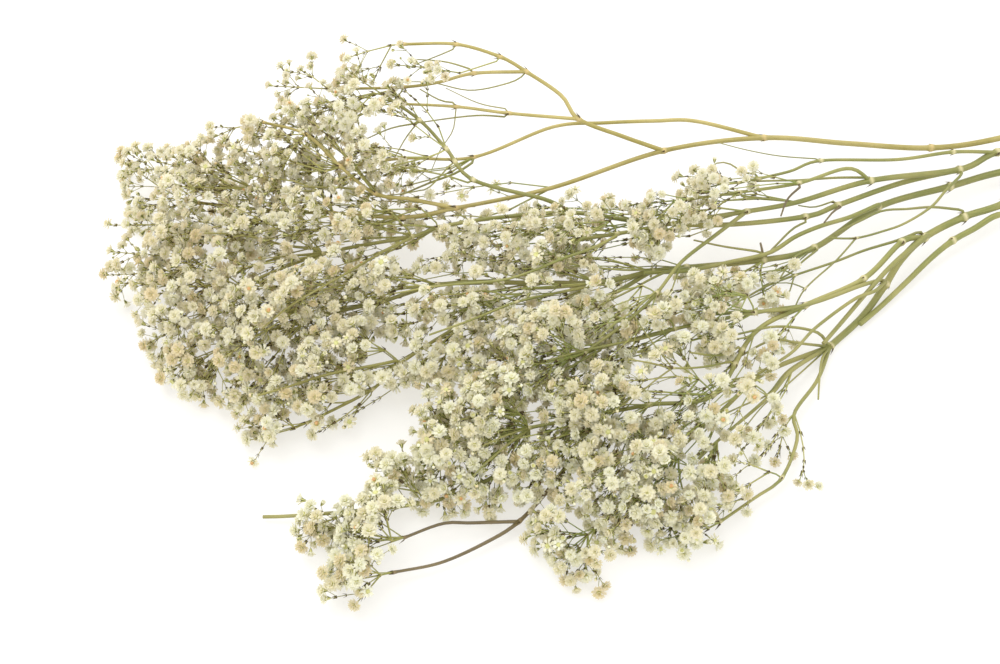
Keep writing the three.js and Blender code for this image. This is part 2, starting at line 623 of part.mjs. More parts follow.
class Spray {
  constructor(number, carrier, waypoint, tips) {
    this.name = `spray_${String(number).padStart(2, '0')}`;
    this.random = seededRandom(number);
    this.mesh = new RingMesh();
    this.carrier = carrier;
    this.waypoint = waypoint;
    this.tips = tips.map((tip) => vector(...tip));
    this.shoots = [];
    carrier.knots.add(waypoint);
  }

  randomBetween(low, high) {
    return low + (high - low) * this.random();
  }

  // First the shoots that reach the tips, bent round what is already there
  growShoots(room) {
    const [mainTip, ...otherTips] = this.tips;
    const seat = this.carrier.seat(this.waypoint, mainTip, SHOOT_BASE_RADIUS);
    const mainKnots = this.growShoot(room, seat, mainTip, otherTips);
    if (!mainKnots || otherTips.length === 0) return;
    const fork = mainKnots.shift();
    const turns = forkTurns(fork.centre, fork.direction, otherTips);
    otherTips.forEach((tip, index) => {
      const outward = outwardAt(fork.direction, turns[index]);
      const direction = fork.direction.clone().add(outward).normalize();
      const sidesOn = Math.round((turns[0] - turns[index]) / 120);
      const side = fork.sides[(3 + sidesOn) % 3];
      this.growShoot(room, { elbow: fork.centre, direction, side }, tip, []);
    });
  }

  // Returns the shoot's knots from its root on, or null where nothing has room
  growShoot(room, seat, tip, otherTips) {
    const length = tip.distanceTo(seat.elbow);
    const places = knotPlaces(length);
    if (otherTips.length > 0 || length > LEAST_BENT_LENGTH) places.unshift(FORK_PLACE);
    const chord = tip.clone().sub(seat.elbow).normalize();
    for (let attempt = 0; attempt < BEND_TRIES; attempt += 1) {
      const size = Math.min(BEND_STEP * Math.sqrt(attempt), MOST_BEND * length);
      const bend = outwardAt(chord, BEND_TURN * attempt).multiplyScalar(size);
      const centre = tip.clone().addScaledVector(bend, BEND_SHARES.tip);
      const lead = centre.clone().addScaledVector(chord, -CURVE_HANDLE * length);
      lead.addScaledVector(bend, BEND_SHARES.lead);
      const floret = floretAt(centre, lead, true);
      const leave = seat.elbow.clone().addScaledVector(seat.direction, CURVE_HANDLE * length);
      leave.addScaledVector(bend, BEND_SHARES.root);
      const curve = new THREE.CubicBezierCurve3(seat.elbow, leave, lead, floret.neck);
      const line = [0, ...places, 1].map((place) => curve.getPoint(place));
      if (this.isShootFree(room, line, floret.centre)) {
        return this.buildShoot(room, seat, { curve, length, places, floret, otherTips });
      }
    }
    return null;
  }

  isShootFree(room, line, floretCentre) {
    if (line.some((place) => place.z < SHOOT_BASE_RADIUS)) return false;
    const reach = line[0].distanceTo(line[1]);
    const clearOfRoot = line[0].clone().lerp(line[1], Math.min(SHOOT_ROOT_LENGTH / reach, 0.9));
    const stretches = [clearOfRoot, ...line.slice(1)];
    return room.isFree(floretCentre, floretCentre, FLORET_REACH)
      && stretches.slice(1).every((end, index) => (
        room.isFree(stretches[index], end, SHOOT_BASE_RADIUS)));
  }

  buildShoot(room, seat, { curve, length, places, floret, otherTips }) {
    const { mesh } = this;
    const firstTurn = this.randomBetween(0, 180);
    let ring = this.shootRoot(seat, curve);
    const knots = [];
    const halfNode = SHOOT_NODE_LENGTH / (2 * length);
    let previous = seat.elbow;
    for (const place of places) {
      const radius = THREE.MathUtils.lerp(SHOOT_BASE_RADIUS, SHOOT_TIP_RADIUS, place);
      const centre = curve.getPoint(place);
      const direction = curve.getTangent(place);
      const turn = firstTurn + 90 * knots.length;
      const isFork = place === FORK_PLACE;
      if (isFork && otherTips.length === 0) {
        const next = mesh.ring(centre, direction, radius, 3, mesh.firstAngleAfter(ring, direction));
        mesh.wall(ring, next);
        ring = next;
      } else {
        const first = degrees(isFork ? 120 - forkTurns(centre, direction, otherTips)[0] : 90 - turn);
        const lower = mesh.ring(curve.getPoint(place - halfNode), direction, radius, 3, first);
        const upper = mesh.ring(curve.getPoint(place + halfNode), direction, radius, 3, first);
        mesh.wall(ring, lower);
        knots.push({ centre, direction, place, turn, sides: mesh.wall(lower, upper) });
        ring = upper;
      }
      room.add(previous, centre, radius);
      previous = centre;
    }
    room.add(previous, floret.neck, SHOOT_TIP_RADIUS);
    this.addFloret(room, ring, floret);
    this.shoots.push(knots);
    return knots;
  }

  // The ring that a shoot starts from: a face of a fork, a limb's end, or an elbow
  shootRoot(seat, curve) {
    const { mesh } = this;
    if ('side' in seat) return this.openFace(seat.side);
    const isElbow = seat.start.length > 0;
    const place = isElbow ? seat.start[0] : seat.elbow;
    const first = mesh.ring(place, seat.direction, SHOOT_BASE_RADIUS, 3);
    mesh.cap(first, false);
    if (!isElbow) return first;
    const turned = curve.getTangent(0).add(seat.direction).normalize();
    const untwisted = mesh.firstAngleAfter(first, turned);
    const elbow = mesh.ring(seat.elbow, turned, SHOOT_BASE_RADIUS, 3, untwisted);
    mesh.wall(first, elbow);
    return elbow;
  }

  // Then two opposite side shoots at each knot, each pair turned from the last
  growSideShoots(room) {
    for (const knots of this.shoots) {
      for (const knot of knots) {
        this.growSideShoot(room, knot, knot.turn, 1);
        this.growSideShoot(room, knot, knot.turn + 180, -1);
      }
    }
  }

  growSideShoot(room, knot, turn, handed) {
    const fullLength = SIDE_SHOOT_LENGTH * (1 - SIDE_SHOOT_TAPER * knot.place);
    const length = fullLength * this.randomBetween(0.85, 1.15);
    const spread = degrees(SPREAD_ANGLE + SPREAD_VARIATION * (this.random() - 0.5));
    const isOpen = this.random() < OPEN_SHARE;
    for (const [extraTurn, share] of SIDE_TRIES) {
      const outward = outwardAt(knot.direction, turn + handed * extraTurn);
      const direction = knot.direction.clone().multiplyScalar(Math.cos(spread))
        .addScaledVector(outward, Math.sin(spread));
      const centre = knot.centre.clone().addScaledVector(direction, length * share);
      const floret = floretAt(centre, knot.centre, isOpen);
      const stalk = floret.neck.clone().sub(knot.centre).normalize();
      const root = knot.centre.clone().addScaledVector(stalk, SIDE_ROOT_LENGTH);
      if (stalk.dot(outward) > LEAST_LEAN && room.isFree(root, floret.neck, SIDE_SHOOT_RADIUS)
        && room.isFree(floret.centre, floret.centre, FLORET_REACH)) {
        room.add(root, floret.neck, SIDE_SHOOT_RADIUS);
        this.addFloret(room, this.openFace(knot.sides[handed === 1 ? 0 : 2]), floret);
        return;
      }
    }
  }

  // Takes a face away and leaves its rim, which something else grows from
  openFace(face) {
    const rim = this.mesh.faces[face];
    this.mesh.faces[face] = null;
    return rim;
  }

  // A five-pointed star, or a half open cup, at the end of a stalk
  addFloret(room, ring, { neck, facing, isOpen, centre }) {
    const { mesh } = this;
    const first = mesh.firstAngleAfter(ring, facing);
    const neckRing = mesh.ring(neck, facing, NECK_RADIUS, 3, first);
    mesh.wall(ring, neckRing);
    const middle = neck.clone().addScaledVector(facing, RIM_HEIGHT);
    const rim = isOpen
      ? mesh.star(middle, facing, OPEN_RADIUS, NOTCH_RADIUS, first)
      : mesh.ring(middle, facing, HALF_OPEN_RADIUS, 5, first);
    mesh.stitch(neckRing, rim);
    const height = isOpen ? OPEN_HEIGHT : HALF_OPEN_HEIGHT;
    const apex = mesh.point(neck.clone().addScaledVector(facing, height));
    rim.forEach((corner, index) => mesh.faces.push([corner, rim[(index + 1) % rim.length], apex]));
    room.add(centre, centre, FLORET_REACH);
  }
}

// ---- The whole stem -----------------------------------------------------

const ROOM_STEP = 0.25;         // of a waypoint, for the stretches that stand for a limb
const LIMB_ROOM = 1.1;          // their radius over the limb's

function growAll() {
  const limbs = {};
  for (const name of Object.keys(LIMBS)) limbs[name] = new Limb(name, limbs);
  const room = new TakenRoom();
  for (const limb of Object.values(limbs)) {
    for (let waypoint = 0; waypoint < limb.path.last; waypoint += ROOM_STEP) {
      const radius = limb.radiusAt(waypoint) * LIMB_ROOM;
      room.add(limb.path.at(waypoint), limb.path.at(waypoint + ROOM_STEP), radius);
    }
  }
  const sprays = SPRAYS.map(([limb, waypoint, tips], index) => (
    new Spray(index + 1, limbs[limb], waypoint, tips)));
  sprays.forEach((spray) => spray.growShoots(room));
  sprays.forEach((spray) => spray.growSideShoots(room));
  return { limbs, sprays };
}

const LIMB_COLOURS = { limb_back: '#a79c62', twig_brown: '#7b6742' };
const STEM_COLOUR = '#8d9158';
const STEM_ROUGHNESS = 0.75;
const SPRAY_COLOUR = '#ddd5bb';
const SPRAY_ROUGHNESS = 0.9;

function named(name, geometry, colour, roughness) {
  const material = new THREE.MeshStandardMaterial({ color: colour, roughness, metalness: 0 });
  const mesh = new THREE.Mesh(geometry, material);
  mesh.name = name;
  return mesh;
}

function buildStem() {
  const { limbs, sprays } = growAll();
  const stem = new THREE.Group();
  const ground = belowSurface();
  const nodes = new Map();
  for (const limb of Object.values(limbs)) {
    const grown = nodes.get(limb.node);
    nodes.set(limb.node, grown ? grown.add(limb.solid()) : limb.solid());
  }
  for (const [name, solid] of nodes) {
    const colour = LIMB_COLOURS[name] ?? STEM_COLOUR;
    stem.add(named(name, geometryOf(solid.subtract(ground)), colour, STEM_ROUGHNESS));
  }
  for (const spray of sprays) {
    stem.add(named(spray.name, spray.mesh.geometry(), SPRAY_COLOUR, SPRAY_ROUGHNESS));
  }
  const box = new THREE.Box3().setFromObject(stem);
  const centre = box.getCenter(vector(0, 0, 0));
  stem.position.set(-centre.x, -centre.y, -box.min.z);
  return stem;
}

export default buildStem();
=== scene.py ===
"""A dried gypsophila stem lying on a pale floor: smooth limbs, fine sprays and many small florets.

Places and lengths are in millimetres, and angles in degrees, unless a comment says otherwise. The limbs,
shoots and side shoots grow exactly as those of the solids do, and finer growth fills the room they leave.
"""

import itertools
import math
from collections import namedtuple

import bpy
import numpy as np
from mathutils import Matrix, Vector


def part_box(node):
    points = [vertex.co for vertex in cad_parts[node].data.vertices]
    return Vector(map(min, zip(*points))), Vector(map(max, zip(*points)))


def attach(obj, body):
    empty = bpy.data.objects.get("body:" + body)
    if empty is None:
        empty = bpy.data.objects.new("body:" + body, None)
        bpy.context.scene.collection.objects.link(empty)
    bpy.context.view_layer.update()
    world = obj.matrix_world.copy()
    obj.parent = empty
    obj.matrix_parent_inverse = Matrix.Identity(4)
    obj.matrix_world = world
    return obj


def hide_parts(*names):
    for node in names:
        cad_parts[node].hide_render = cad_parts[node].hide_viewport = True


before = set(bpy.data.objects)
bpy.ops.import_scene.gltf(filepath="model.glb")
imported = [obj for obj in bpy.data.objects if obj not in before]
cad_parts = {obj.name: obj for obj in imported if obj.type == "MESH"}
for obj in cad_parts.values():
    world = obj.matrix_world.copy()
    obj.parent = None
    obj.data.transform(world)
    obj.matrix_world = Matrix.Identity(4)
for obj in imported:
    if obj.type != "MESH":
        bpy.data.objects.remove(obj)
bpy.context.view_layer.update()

MM = 0.001

# ---- The growth of the solids ----

JOINT_GAP = 0.3
CLEARANCE = 0.4
NODE_SWELL = 1.4
ELBOW_RISE = 1.25
SHOOT_BASE_RADIUS = 0.75
SHOOT_TIP_RADIUS = 0.55
SHOOT_ROOT_LENGTH = 4.0
MOST_ROOT_SHARE = 0.9
SIDE_SHOOT_RADIUS = 0.55
SIDE_SHOOT_LENGTH = 24.0
SIDE_SHOOT_TAPER = 0.45
SIDE_SHOOT_VARIATION = (0.85, 1.15)
SIDE_ROOT_LENGTH = 2.5
SPREAD_ANGLE = 42.0
SPREAD_VARIATION = 14.0
LEAST_LEAN = 0.35
OPEN_SHARE = 0.4
FLORET_REACH = 3.7
FLORET_CENTRE = 1.8
FLORET_TURN_UP = 0.35
FORK_PLACE = 0.2
FORK_TURN = 120
LEAST_BENT_LENGTH = 40.0
CURVE_HANDLE = 0.3
GOLDEN_TURN = 137.5
BEND_TRIES = 140
BEND_STEP = 1.5
MOST_BEND = 0.35
BEND_AT_ROOT = 0.3
BEND_AT_LEAD = 0.6
BEND_AT_TIP = 0.4
# Where a shoot has its knots, as shares of its length, for the first of these lengths that it passes
KNOT_PLACES = [(75, [0.4, 0.6, 0.8]), (48, [0.45, 0.75]), (0, [0.6])]
# What a side shoot tries where there is no room for it: further turns, and shares of its length
SIDE_TRIES = [
    (0, 1), (20, 1), (40, 1), (-20, 1), (60, 0.9), (-35, 0.9), (80, 0.85), (0, 0.8), (30, 0.75),
    (60, 0.7), (90, 0.7), (-30, 0.65), (0, 0.6), (40, 0.55), (80, 0.55),
]
ROOM_STEP = 0.25
ROOM_CELL = 12.0
LIMB_ROOM = 1.1
MOST_STRETCHES = 40000
LEAST_DIVISOR = 1e-9
STEEP = 0.05

# ---- The finer growth ----

FINE_SEED = 1000
FLOOR_GAP = 0.9
BLOOM_REACH = 2.5
BUD_REACH = 1.1
BLOOM_SIZES = (1.1, 1.4)
PEDICEL_BLOOM_SIZES = (0.97, 1.3)
FACING_SWAY = 1.3
# Kinds of floret and bud, and how often each comes
OPEN_KINDS = [("open", 0.16), ("full", 0.56), ("half_open", 0.23), ("aged", 0.05)]
HALF_OPEN_KINDS = [("half_open", 0.3), ("full", 0.5), ("open", 0.1), ("faded", 0.1)]
PEDICEL_KINDS = [("open", 0.08), ("full", 0.32), ("half_open", 0.2), ("faded", 0.06), ("aged", 0.03),
                 ("opening", 0.09), ("bud", 0.12), ("small_bud", 0.1)]
BUD_KINDS = ("opening", "bud", "small_bud")
BUD_STALK_SHARE = 0.75

KNOT_RISE = 0.42
KNOT_RINGS = (-1.6, -0.8, 0.0, 0.8, 1.6)
LEAST_RING_GAP = 0.05
SHOOT_RADII = (0.52, 0.32)
SHOOT_KNOT_WIDTH = 0.8
SHOOT_ROOM_PLACES = (0.14, 0.35, 0.55, 0.75, 1)
BARE_SHARE = 0.54
LOW_SIDE_SHARE = 0.2
SIDE_STALK_RADII = (0.29, 0.23)
SIDE_STALK_LENGTHS = (10.0, 18.0)
SIDE_STALK_ROOT = 0.2
SIDE_BARE_SHARE = 0.3
PEDICEL_RADII = (0.2, 0.17)
PEDICEL_LENGTHS = (6.0, 10.5)
PEDICEL_SPREADS = (26.0, 52.0)
PEDICEL_ROOT = 0.3
PEDICEL_TRIES = [(0, 1), (30, 1), (-30, 0.9), (60, 0.9), (-60, 0.8), (90, 0.75), (0, 0.65), (45, 0.6)]
PAIR_SPACING = 5.8
PAIR_START = 0.55
PAIR_END = 0.35
CROWDING = 0.75
STALK_ARCH = 0.05
THIN_SAMPLES = 6
BRACT_SIZES = (1.3, 1.9)
SMALL_BRACT_SIZES = (0.95, 1.4)

TWIN_RADII = (0.42, 0.28)
TWIN_SPREADS = (12.0, 30.0)
TWIN_SHARES = (0.55, 0.95)
TWIN_HANDLES = (0.3, 0.65)
TWIN_BEND = 0.06
TWIN_KNOTS = [0.4, 0.62, 0.82]
TWIN_TRIES = [(0, 1), (25, 0.95), (-25, 0.95), (50, 0.9), (-50, 0.85), (75, 0.8), (100, 0.75), (0, 0.7)]
LEAST_TWIN_LENGTH = 22.0
LONG_TWIN_LENGTH = 38.0

RUNNER_RADII = (0.62, 0.36)
RUNNER_KNOTS = [0.28, 0.5, 0.68, 0.84]
RUNNER_BARE_SHARE = 0.66
RUNNER_STRETCH = (1.5, 2.7)
RUNNER_DISTANCES = (6.0, 18.0)
RUNNER_LEAN = 0.7
RUNNER_TRIES = 9
SIDESTEP = 1.0
STRAIGHTNESS = 2
WAND_RADII = (0.45, 0.28)
WAND_FLOWERING = 0.15
OFFSHOOT_NODES = ("limb_back", "limb_upper", "limb_middle", "limb_front", "twig_brown", "twig_bare")

OPEN_SIDE = (0, -0.57, 0.82)
OPEN_DEPTH = 18.0
CLEARING_STEP = 0.5
CLEARING_DISTANCES = (7.0, 13.0, 19.0, 25.0, 31.0)
CLEARING_RADIUS = 2.6

# ---- The shapes of stalks, florets and leaves ----

RING_SPACING = 4.0
LIMB_SIDES_LEVEL = 4
LIMB_SAMPLES = 20
LIMB_KNOT_WIDTH = 1.7
STALK_SIDES_LEVEL = 1
TUBE_SMOOTH_ANGLE = 70.0
PRESS_HEIGHT = 0.4
CUT_REACH = 1.5
CUT_RIM = 0.5
CUT_DEPTH = 0.3

# Rows of petals of each kind of floret: how many, length, width, rise, inset, height and crumple
FLORETS = {
    "full": [(8, 2.9, 1.9, -16, 0.4, 1.8, 0.4), (7, 2.9, 1.8, 14, 0.35, 1.9, 0.45),
             (6, 2.7, 1.7, 42, 0.3, 2.0, 0.45), (4, 2.4, 1.6, 70, 0.2, 2.0, 0.4)],
    "open": [(8, 3.1, 1.9, 2, 0.4, 1.7, 0.4), (6, 2.9, 1.8, 32, 0.35, 1.8, 0.45),
             (5, 2.6, 1.6, 62, 0.25, 1.9, 0.4)],
    "half_open": [(7, 2.9, 1.8, 34, 0.5, 1.5, 0.35), (5, 2.8, 1.7, 62, 0.3, 1.7, 0.35),
                  (3, 2.3, 1.5, 78, 0.15, 1.9, 0.3)],
    "aged": [(8, 3.0, 1.8, -6, 0.4, 1.7, 0.45), (6, 2.7, 1.7, 34, 0.5, 1.7, 0.45)],
    "faded": [(7, 2.8, 1.6, -30, 0.6, 1.7, 0.45), (5, 2.7, 1.6, 24, 0.35, 1.8, 0.45)],
    "opening": [(5, 2.3, 1.6, 70, 0.5, 1.2, 0.25)],
}
# Radius, length and share of petal tips of each kind of bud
BUDS = {"bud": (0.95, 2.6, 0.3), "small_bud": (0.6, 1.6, 0.15)}
PETAL_THICKNESS = 0.14
PETAL_HOLLOW = 0.07
PETAL_SHOULDER_RISE = 0.37
PETAL_TIP_WIDTH = 0.58
PETAL_TIP_RISE = 0.25
PETAL_NOTCH = 0.13
PETAL_REACH = 3.6
PETAL_SMOOTH_ANGLE = 40.0
HEXAGON_HALF_WIDTH = 0.866
CALYX_RADII = (0.4, 1.05)
CALYX_HEIGHT = 1.8
CALYX_TOOTH = 0.5
CALYX_FLARE = 1.15
BUD_SHOULDER = 0.7
BUD_TIP_WIDTH = 0.75
HEART_RADIUS = 0.9
HEART_HEIGHT = 2.9
HEART_CRUMPLE = 0.3
LEAF_LENGTH = 2.0
LEAF_HALF_WIDTH = 0.5
LEAF_FLATNESS = 0.45
LEAF_LEAN = 0.7
LEAF_FOOT = 1.2
LEAF_SIZES = (1.1, 2.3)
PAIR_FOOT = 0.4

# ---- Limbs, sprays and twigs ----

# How full each limb's sprays are: twins of each shoot, share of pedicels, at each waypoint runners
# and bare wands, and the scale of its florets
FULLNESS = {
    "back": (1, 0.65, 1, 2, 0.92),
    "back_low": (1, 0.5, 1, 2, 0.95),
    "back_arch": (0, 0.7, 0, 0, 0.85),
    "back_arch_middle": (0, 0.7, 0, 0, 0.85),
    "back_arch_low": (0, 0.7, 0, 0, 0.85),
    "back_tip": (1, 0.6, 0, 3, 0.92),
    "upper": (2, 0.6, 1, 2, 0.86),
    "upper_high": (1, 0.8, 0, 0, 0.86),
    "upper_short": (2, 0.7, 0, 2, 0.84),
    "upper_long": (1, 0.75, 1, 3, 0.95),
    "upper_diagonal": (1, 0.5, 0, 2, 0.95),
    "upper_front": (4, 0.9, 1, 3, 0.95),
    "middle": (3, 0.9, 1, 3, 1.0),
    "middle_front": (2, 1.0, 0, 1, 1.0),
    "front": (0, 0, 0, 0, 1.0),
    "front_long": (4, 1.0, 1, 3, 1.0),
    "front_upper": (3, 0.8, 1, 5, 1.0),
    "front_middle": (3, 0.7, 0, 7, 0.95),
    "front_low": (1, 0.5, 0, 3, 0.9),
    "front_high": (3, 0.75, 0, 4, 1.0),
    "brown": (1, 0.9, 0, 0, 1.0),
    "brown_side": (3, 1.0, 0, 0, 1.0),
    "bare": (2, 0.9, 0, 0, 1.0),
}
# The first waypoint that has runners and wands, where it isn't 1
FIRST_RUNNER_WAYPOINTS = {
    "back": 8, "upper": 5, "upper_long": 4, "upper_high": 3, "upper_short": 2, "middle": 5, "back_low": 5,
    "back_arch": 5, "back_tip": 2, "upper_diagonal": 3, "front_long": 4, "front_low": 2,
}

# Limbs: node, what each one grows from, the radius at both ends, and its waypoints
LIMBS = {
    "main": ("main_stem", None, (3.3, 3.0), [
        (360, 172, 3.05), (325, 160, 3.4), (292, 148, 5.5), (278, 142, 6.5),
    ]),
    "back": ("limb_back", ("main", 1), (2.1, 0.9), [
        (285, 160, 12), (250, 145, 15), (185, 120, 18), (140, 110, 20), (90, 110, 24), (40, 110, 29),
        (-20, 95, 35), (-85, 65, 38), (-140, 50, 38), (-170, 45, 36), (-210, 52, 31), (-250, 60, 24),
        (-290, 70, 18),
    ]),
    "back_low": ("limb_back", ("back", 6), (1.3, 0.8), [
        (0, 115, 38), (-25, 110, 44), (-55, 105, 48), (-85, 100, 50), (-130, 80, 47), (-170, 80, 46),
        (-200, 75, 45),
    ]),
    "back_arch": ("limb_back", ("back", 7), (1.4, 0.9), [
        (-45, 95, 48), (-70, 100, 57), (-80, 110, 66), (-100, 120, 75), (-115, 125, 82), (-140, 130, 87),
        (-170, 130, 87),
    ]),
    "back_arch_middle": ("limb_back", ("back_arch", 4), (1.1, 0.8), [
        (-130, 115, 79), (-150, 110, 77), (-170, 110, 73), (-205, 115, 66),
    ]),
    "back_arch_low": ("limb_back", ("back_arch", 2), (1.1, 0.8), [
        (-110, 100, 62), (-140, 105, 62), (-175, 110, 59),
    ]),
    "back_tip": ("limb_back", ("back", 9), (1.2, 0.8), [
        (-165, 50, 46), (-185, 50, 51), (-205, 65, 57), (-225, 85, 61), (-250, 95, 60),
    ]),
    "upper": ("limb_upper", ("main", 3), (2.3, 1.0), [
        (220, 122, 12), (180, 110, 16), (155, 95, 18), (100, 80, 26), (55, 60, 31), (25, 50, 35),
        (-10, 40, 39), (-50, 30, 40), (-80, 25, 40),
    ]),
    "upper_high": ("limb_upper", ("upper", 2), (1.2, 0.8), [
        (150, 100, 28), (115, 90, 33), (70, 85, 38), (50, 75, 40), (20, 65, 42),
    ]),
    "upper_short": ("limb_upper", ("upper", 4), (1.2, 0.8), [
        (85, 80, 37), (55, 65, 42), (20, 55, 46), (-10, 50, 46),
    ]),
    "upper_long": ("limb_upper", ("upper", 3), (1.7, 0.9), [
        (120, 85, 18), (80, 65, 22), (60, 55, 24), (10, 45, 29), (-35, 45, 32), (-75, 50, 34), (-120, 45, 35),
        (-150, 40, 33), (-165, 35, 31), (-215, 25, 28), (-260, 5, 24), (-280, -10, 20),
    ]),
    "upper_diagonal": ("limb_upper", ("upper_long", 6), (1.3, 0.9), [
        (-90, 50, 46), (-130, 55, 57), (-145, 70, 66), (-160, 85, 73), (-180, 100, 77),
    ]),
    "upper_front": ("limb_upper", ("upper", 6), (1.2, 0.8), [
        (5, 30, 38), (-15, 8, 43), (-30, -15, 45), (-45, -32, 45), (-70, -52, 42),
    ]),
    "middle": ("limb_middle", ("main", 2), (2.4, 0.9), [
        (225, 112, 7), (180, 100, 9), (150, 88, 11), (105, 70, 14), (65, 40, 14), (35, 30, 16), (-10, 20, 22),
        (-30, 15, 25), (-60, 5, 28), (-95, 5, 28), (-150, 5, 26), (-180, -5, 24), (-220, -15, 22),
        (-260, -30, 20),
    ]),
    "middle_front": ("limb_middle", ("middle", 8), (1.3, 0.8), [
        (-60, 0, 19), (-105, -8, 17), (-135, -15, 16), (-170, -40, 14), (-185, -55, 11), (-220, -75, 8),
    ]),
    "front": ("limb_front", ("main", 1), (2.6, 1.9), [
        (290, 135, 8), (245, 108, 9), (180, 75, 11), (155, 65, 11), (130, 50, 11), (115, 35, 9), (105, 20, 6),
        (90, 0, 2.2), (70, -20, 1.7),
    ]),
    "front_long": ("limb_front", ("front", 5), (1.7, 0.9), [
        (115, 42, 17), (90, 15, 18), (55, -5, 20), (25, -25, 22), (0, -65, 21), (-35, -72, 22),
        (-65, -80, 24), (-100, -88, 24), (-130, -95, 22),
    ]),
    "front_upper": ("limb_front", ("front_long", 3), (1.2, 0.8), [
        (25, -15, 27), (-20, -28, 30), (-60, -40, 30), (-95, -50, 29),
    ]),
    "front_middle": ("limb_front", ("front", 9), (1.5, 0.8), [
        (30, -45, 12), (5, -70, 13), (-20, -95, 13), (-40, -118, 12), (-65, -140, 9),
    ]),
    "front_low": ("limb_front", ("front", 9), (1.2, 0.8), [
        (60, -45, 5), (45, -68, 7), (45, -85, 8), (35, -108, 6), (20, -120, 6), (0, -135, 6),
    ]),
    "front_high": ("limb_front", ("front", 9), (1.2, 0.8), [
        (45, -45, 15), (30, -65, 19), (0, -95, 22), (-15, -110, 21),
    ]),
    "brown": ("twig_brown", ("front_long", 7), (1.3, 0.8), [
        (-75, -100, 18), (-90, -120, 13), (-105, -135, 7), (-120, -145, 5), (-145, -158, 5), (-170, -165, 7),
    ]),
    "brown_side": ("twig_brown", ("brown", 3), (1.0, 0.8), [
        (-130, -137, 9), (-145, -138, 10), (-165, -147, 11),
    ]),
    "bare": ("twig_bare", ("front_long", 8), (1.2, 1.0), [
        (-115, -110, 16), (-135, -120, 12), (-155, -125, 9), (-190, -128, 6), (-225, -130, 4),
        (-240, -130, 3),
    ]),
}

# Sprays: the limb and waypoint that carry each one, then the tips of its shoots
SPRAYS = [
    ("back_arch", 7, [(-204, 127, 79), (-188, 119, 68)]),
    ("back_arch", 5, [(-176, 110, 92)]),
    ("back_arch_middle", 4, [(-249, 128, 55), (-231, 135, 61)]),
    ("back_arch_middle", 3, [(-231, 104, 61), (-202, 111, 88), (-214, 124, 57)]),
    ("back_arch_low", 3, [(-213, 101, 48), (-205, 92, 62)]),
    ("back_tip", 5, [(-278, 91, 53)]),
    ("back_tip", 4, [(-264, 74, 48), (-247, 61, 40)]),
    ("back_tip", 3, [(-246, 68, 66), (-236, 89, 50)]),
    ("back_low", 7, [(-238, 74, 38), (-220, 87, 37)]),
    ("back_low", 6, [(-199, 80, 57)]),
    ("back", 13, [(-341, 107, 13), (-334, 82, 9), (-322, 110, 20)]),
    ("back", 12, [(-316, 87, 37), (-305, 104, 11), (-305, 60, 46)]),
    ("back", 11, [(-286, 75, 42), (-284, 79, 18)]),
    ("upper_diagonal", 5, [(-217, 101, 73), (-201, 75, 81)]),
    ("upper_diagonal", 3, [(-197, 60, 77), (-210, 57, 55)]),
    ("upper_long", 12, [(-312, -27, 13), (-295, -29, 31)]),
    ("upper_long", 11, [(-338, 19, 17), (-313, -12, 35), (-333, 25, 31)]),
    ("upper_long", 10, [(-338, 48, 26), (-309, 23, 44), (-299, 0, 42)]),
    ("upper_long", 9, [(-276, 21, 46), (-262, 34, 51)]),
    ("upper_long", 8, [(-247, 24, 42), (-232, 32, 46)]),
    ("middle", 14, [(-300, -41, 9), (-284, -59, 11)]),
    ("middle", 13, [(-281, -33, 31), (-267, -61, 9), (-265, -53, 37)]),
    ("middle", 12, [(-260, -9, 40), (-241, -50, 7), (-251, -25, 35)]),
    ("middle", 11, [(-222, -15, 38), (-209, 7, 42)]),
    ("middle_front", 6, [(-251, -85, 7), (-231, -74, 15)]),
    ("middle_front", 5, [(-243, -67, 18), (-223, -56, 28)]),
    ("middle_front", 4, [(-217, -39, 31), (-197, -37, 28)]),
    ("upper_high", 5, [(-6, 70, 38), (-2, 62, 52)]),
    ("upper_short", 4, [(-45, 49, 42), (-30, 25, 55)]),
    ("upper", 9, [(-123, 23, 38), (-115, 14, 28)]),
    ("upper", 8, [(-93, 25, 51), (-90, 9, 42), (-88, 17, 28)]),
    ("upper_long", 6, [(-140, 24, 42), (-159, 6, 38)]),
    ("middle", 10, [(-161, -24, 42), (-178, -23, 22)]),
    ("middle", 9, [(-131, -13, 40)]),
    ("upper_front", 5, [(-112, -43, 37), (-94, -37, 53), (-99, -67, 33)]),
    ("upper_front", 3, [(-67, -27, 55), (-60, -30, 28)]),
    ("front_upper", 4, [(-134, -58, 26), (-121, -33, 13)]),
    ("front_upper", 3, [(-99, -56, 46), (-82, -53, 13)]),
    ("front_upper", 2, [(-56, -33, 46), (-60, -45, 20)]),
    ("front_upper", 1, [(-26, -26, 40), (-22, -34, 18), (-4, -7, 28)]),
    ("front_long", 9, [(-161, -73, 18), (-149, -103, 31)]),
    ("front_long", 8, [(-126, -77, 38), (-120, -97, 11), (-138, -94, 42)]),
    ("front_long", 6, [(-86, -75, 46), (-79, -107, 33), (-91, -85, 13)]),
    ("front_long", 5, [(-52, -71, 44), (-55, -93, 35), (-30, -50, 40)]),
    ("front_high", 4, [(-45, -111, 35), (-34, -130, 20)]),
    ("front_high", 2, [(-15, -81, 40), (4, -95, 28), (-21, -104, 38)]),
    ("front_middle", 5, [(-87, -158, 7), (-71, -167, 8), (-94, -146, 18)]),
    ("front_middle", 3, [(-69, -127, 37), (-61, -144, 24), (-84, -136, 31)]),
    ("front_low", 6, [(-32, -146, 7), (-17, -137, 22)]),
    ("front_low", 4, [(6, -124, 11), (8, -108, 24)]),
    ("brown", 6, [(-202, -173, 9), (-189, -184, 8), (-191, -165, 20)]),
    ("brown_side", 3, [(-198, -146, 13), (-179, -143, 22)]),
    ("bare", 3, [(-183, -120, 18), (-168, -110, 22)]),
]

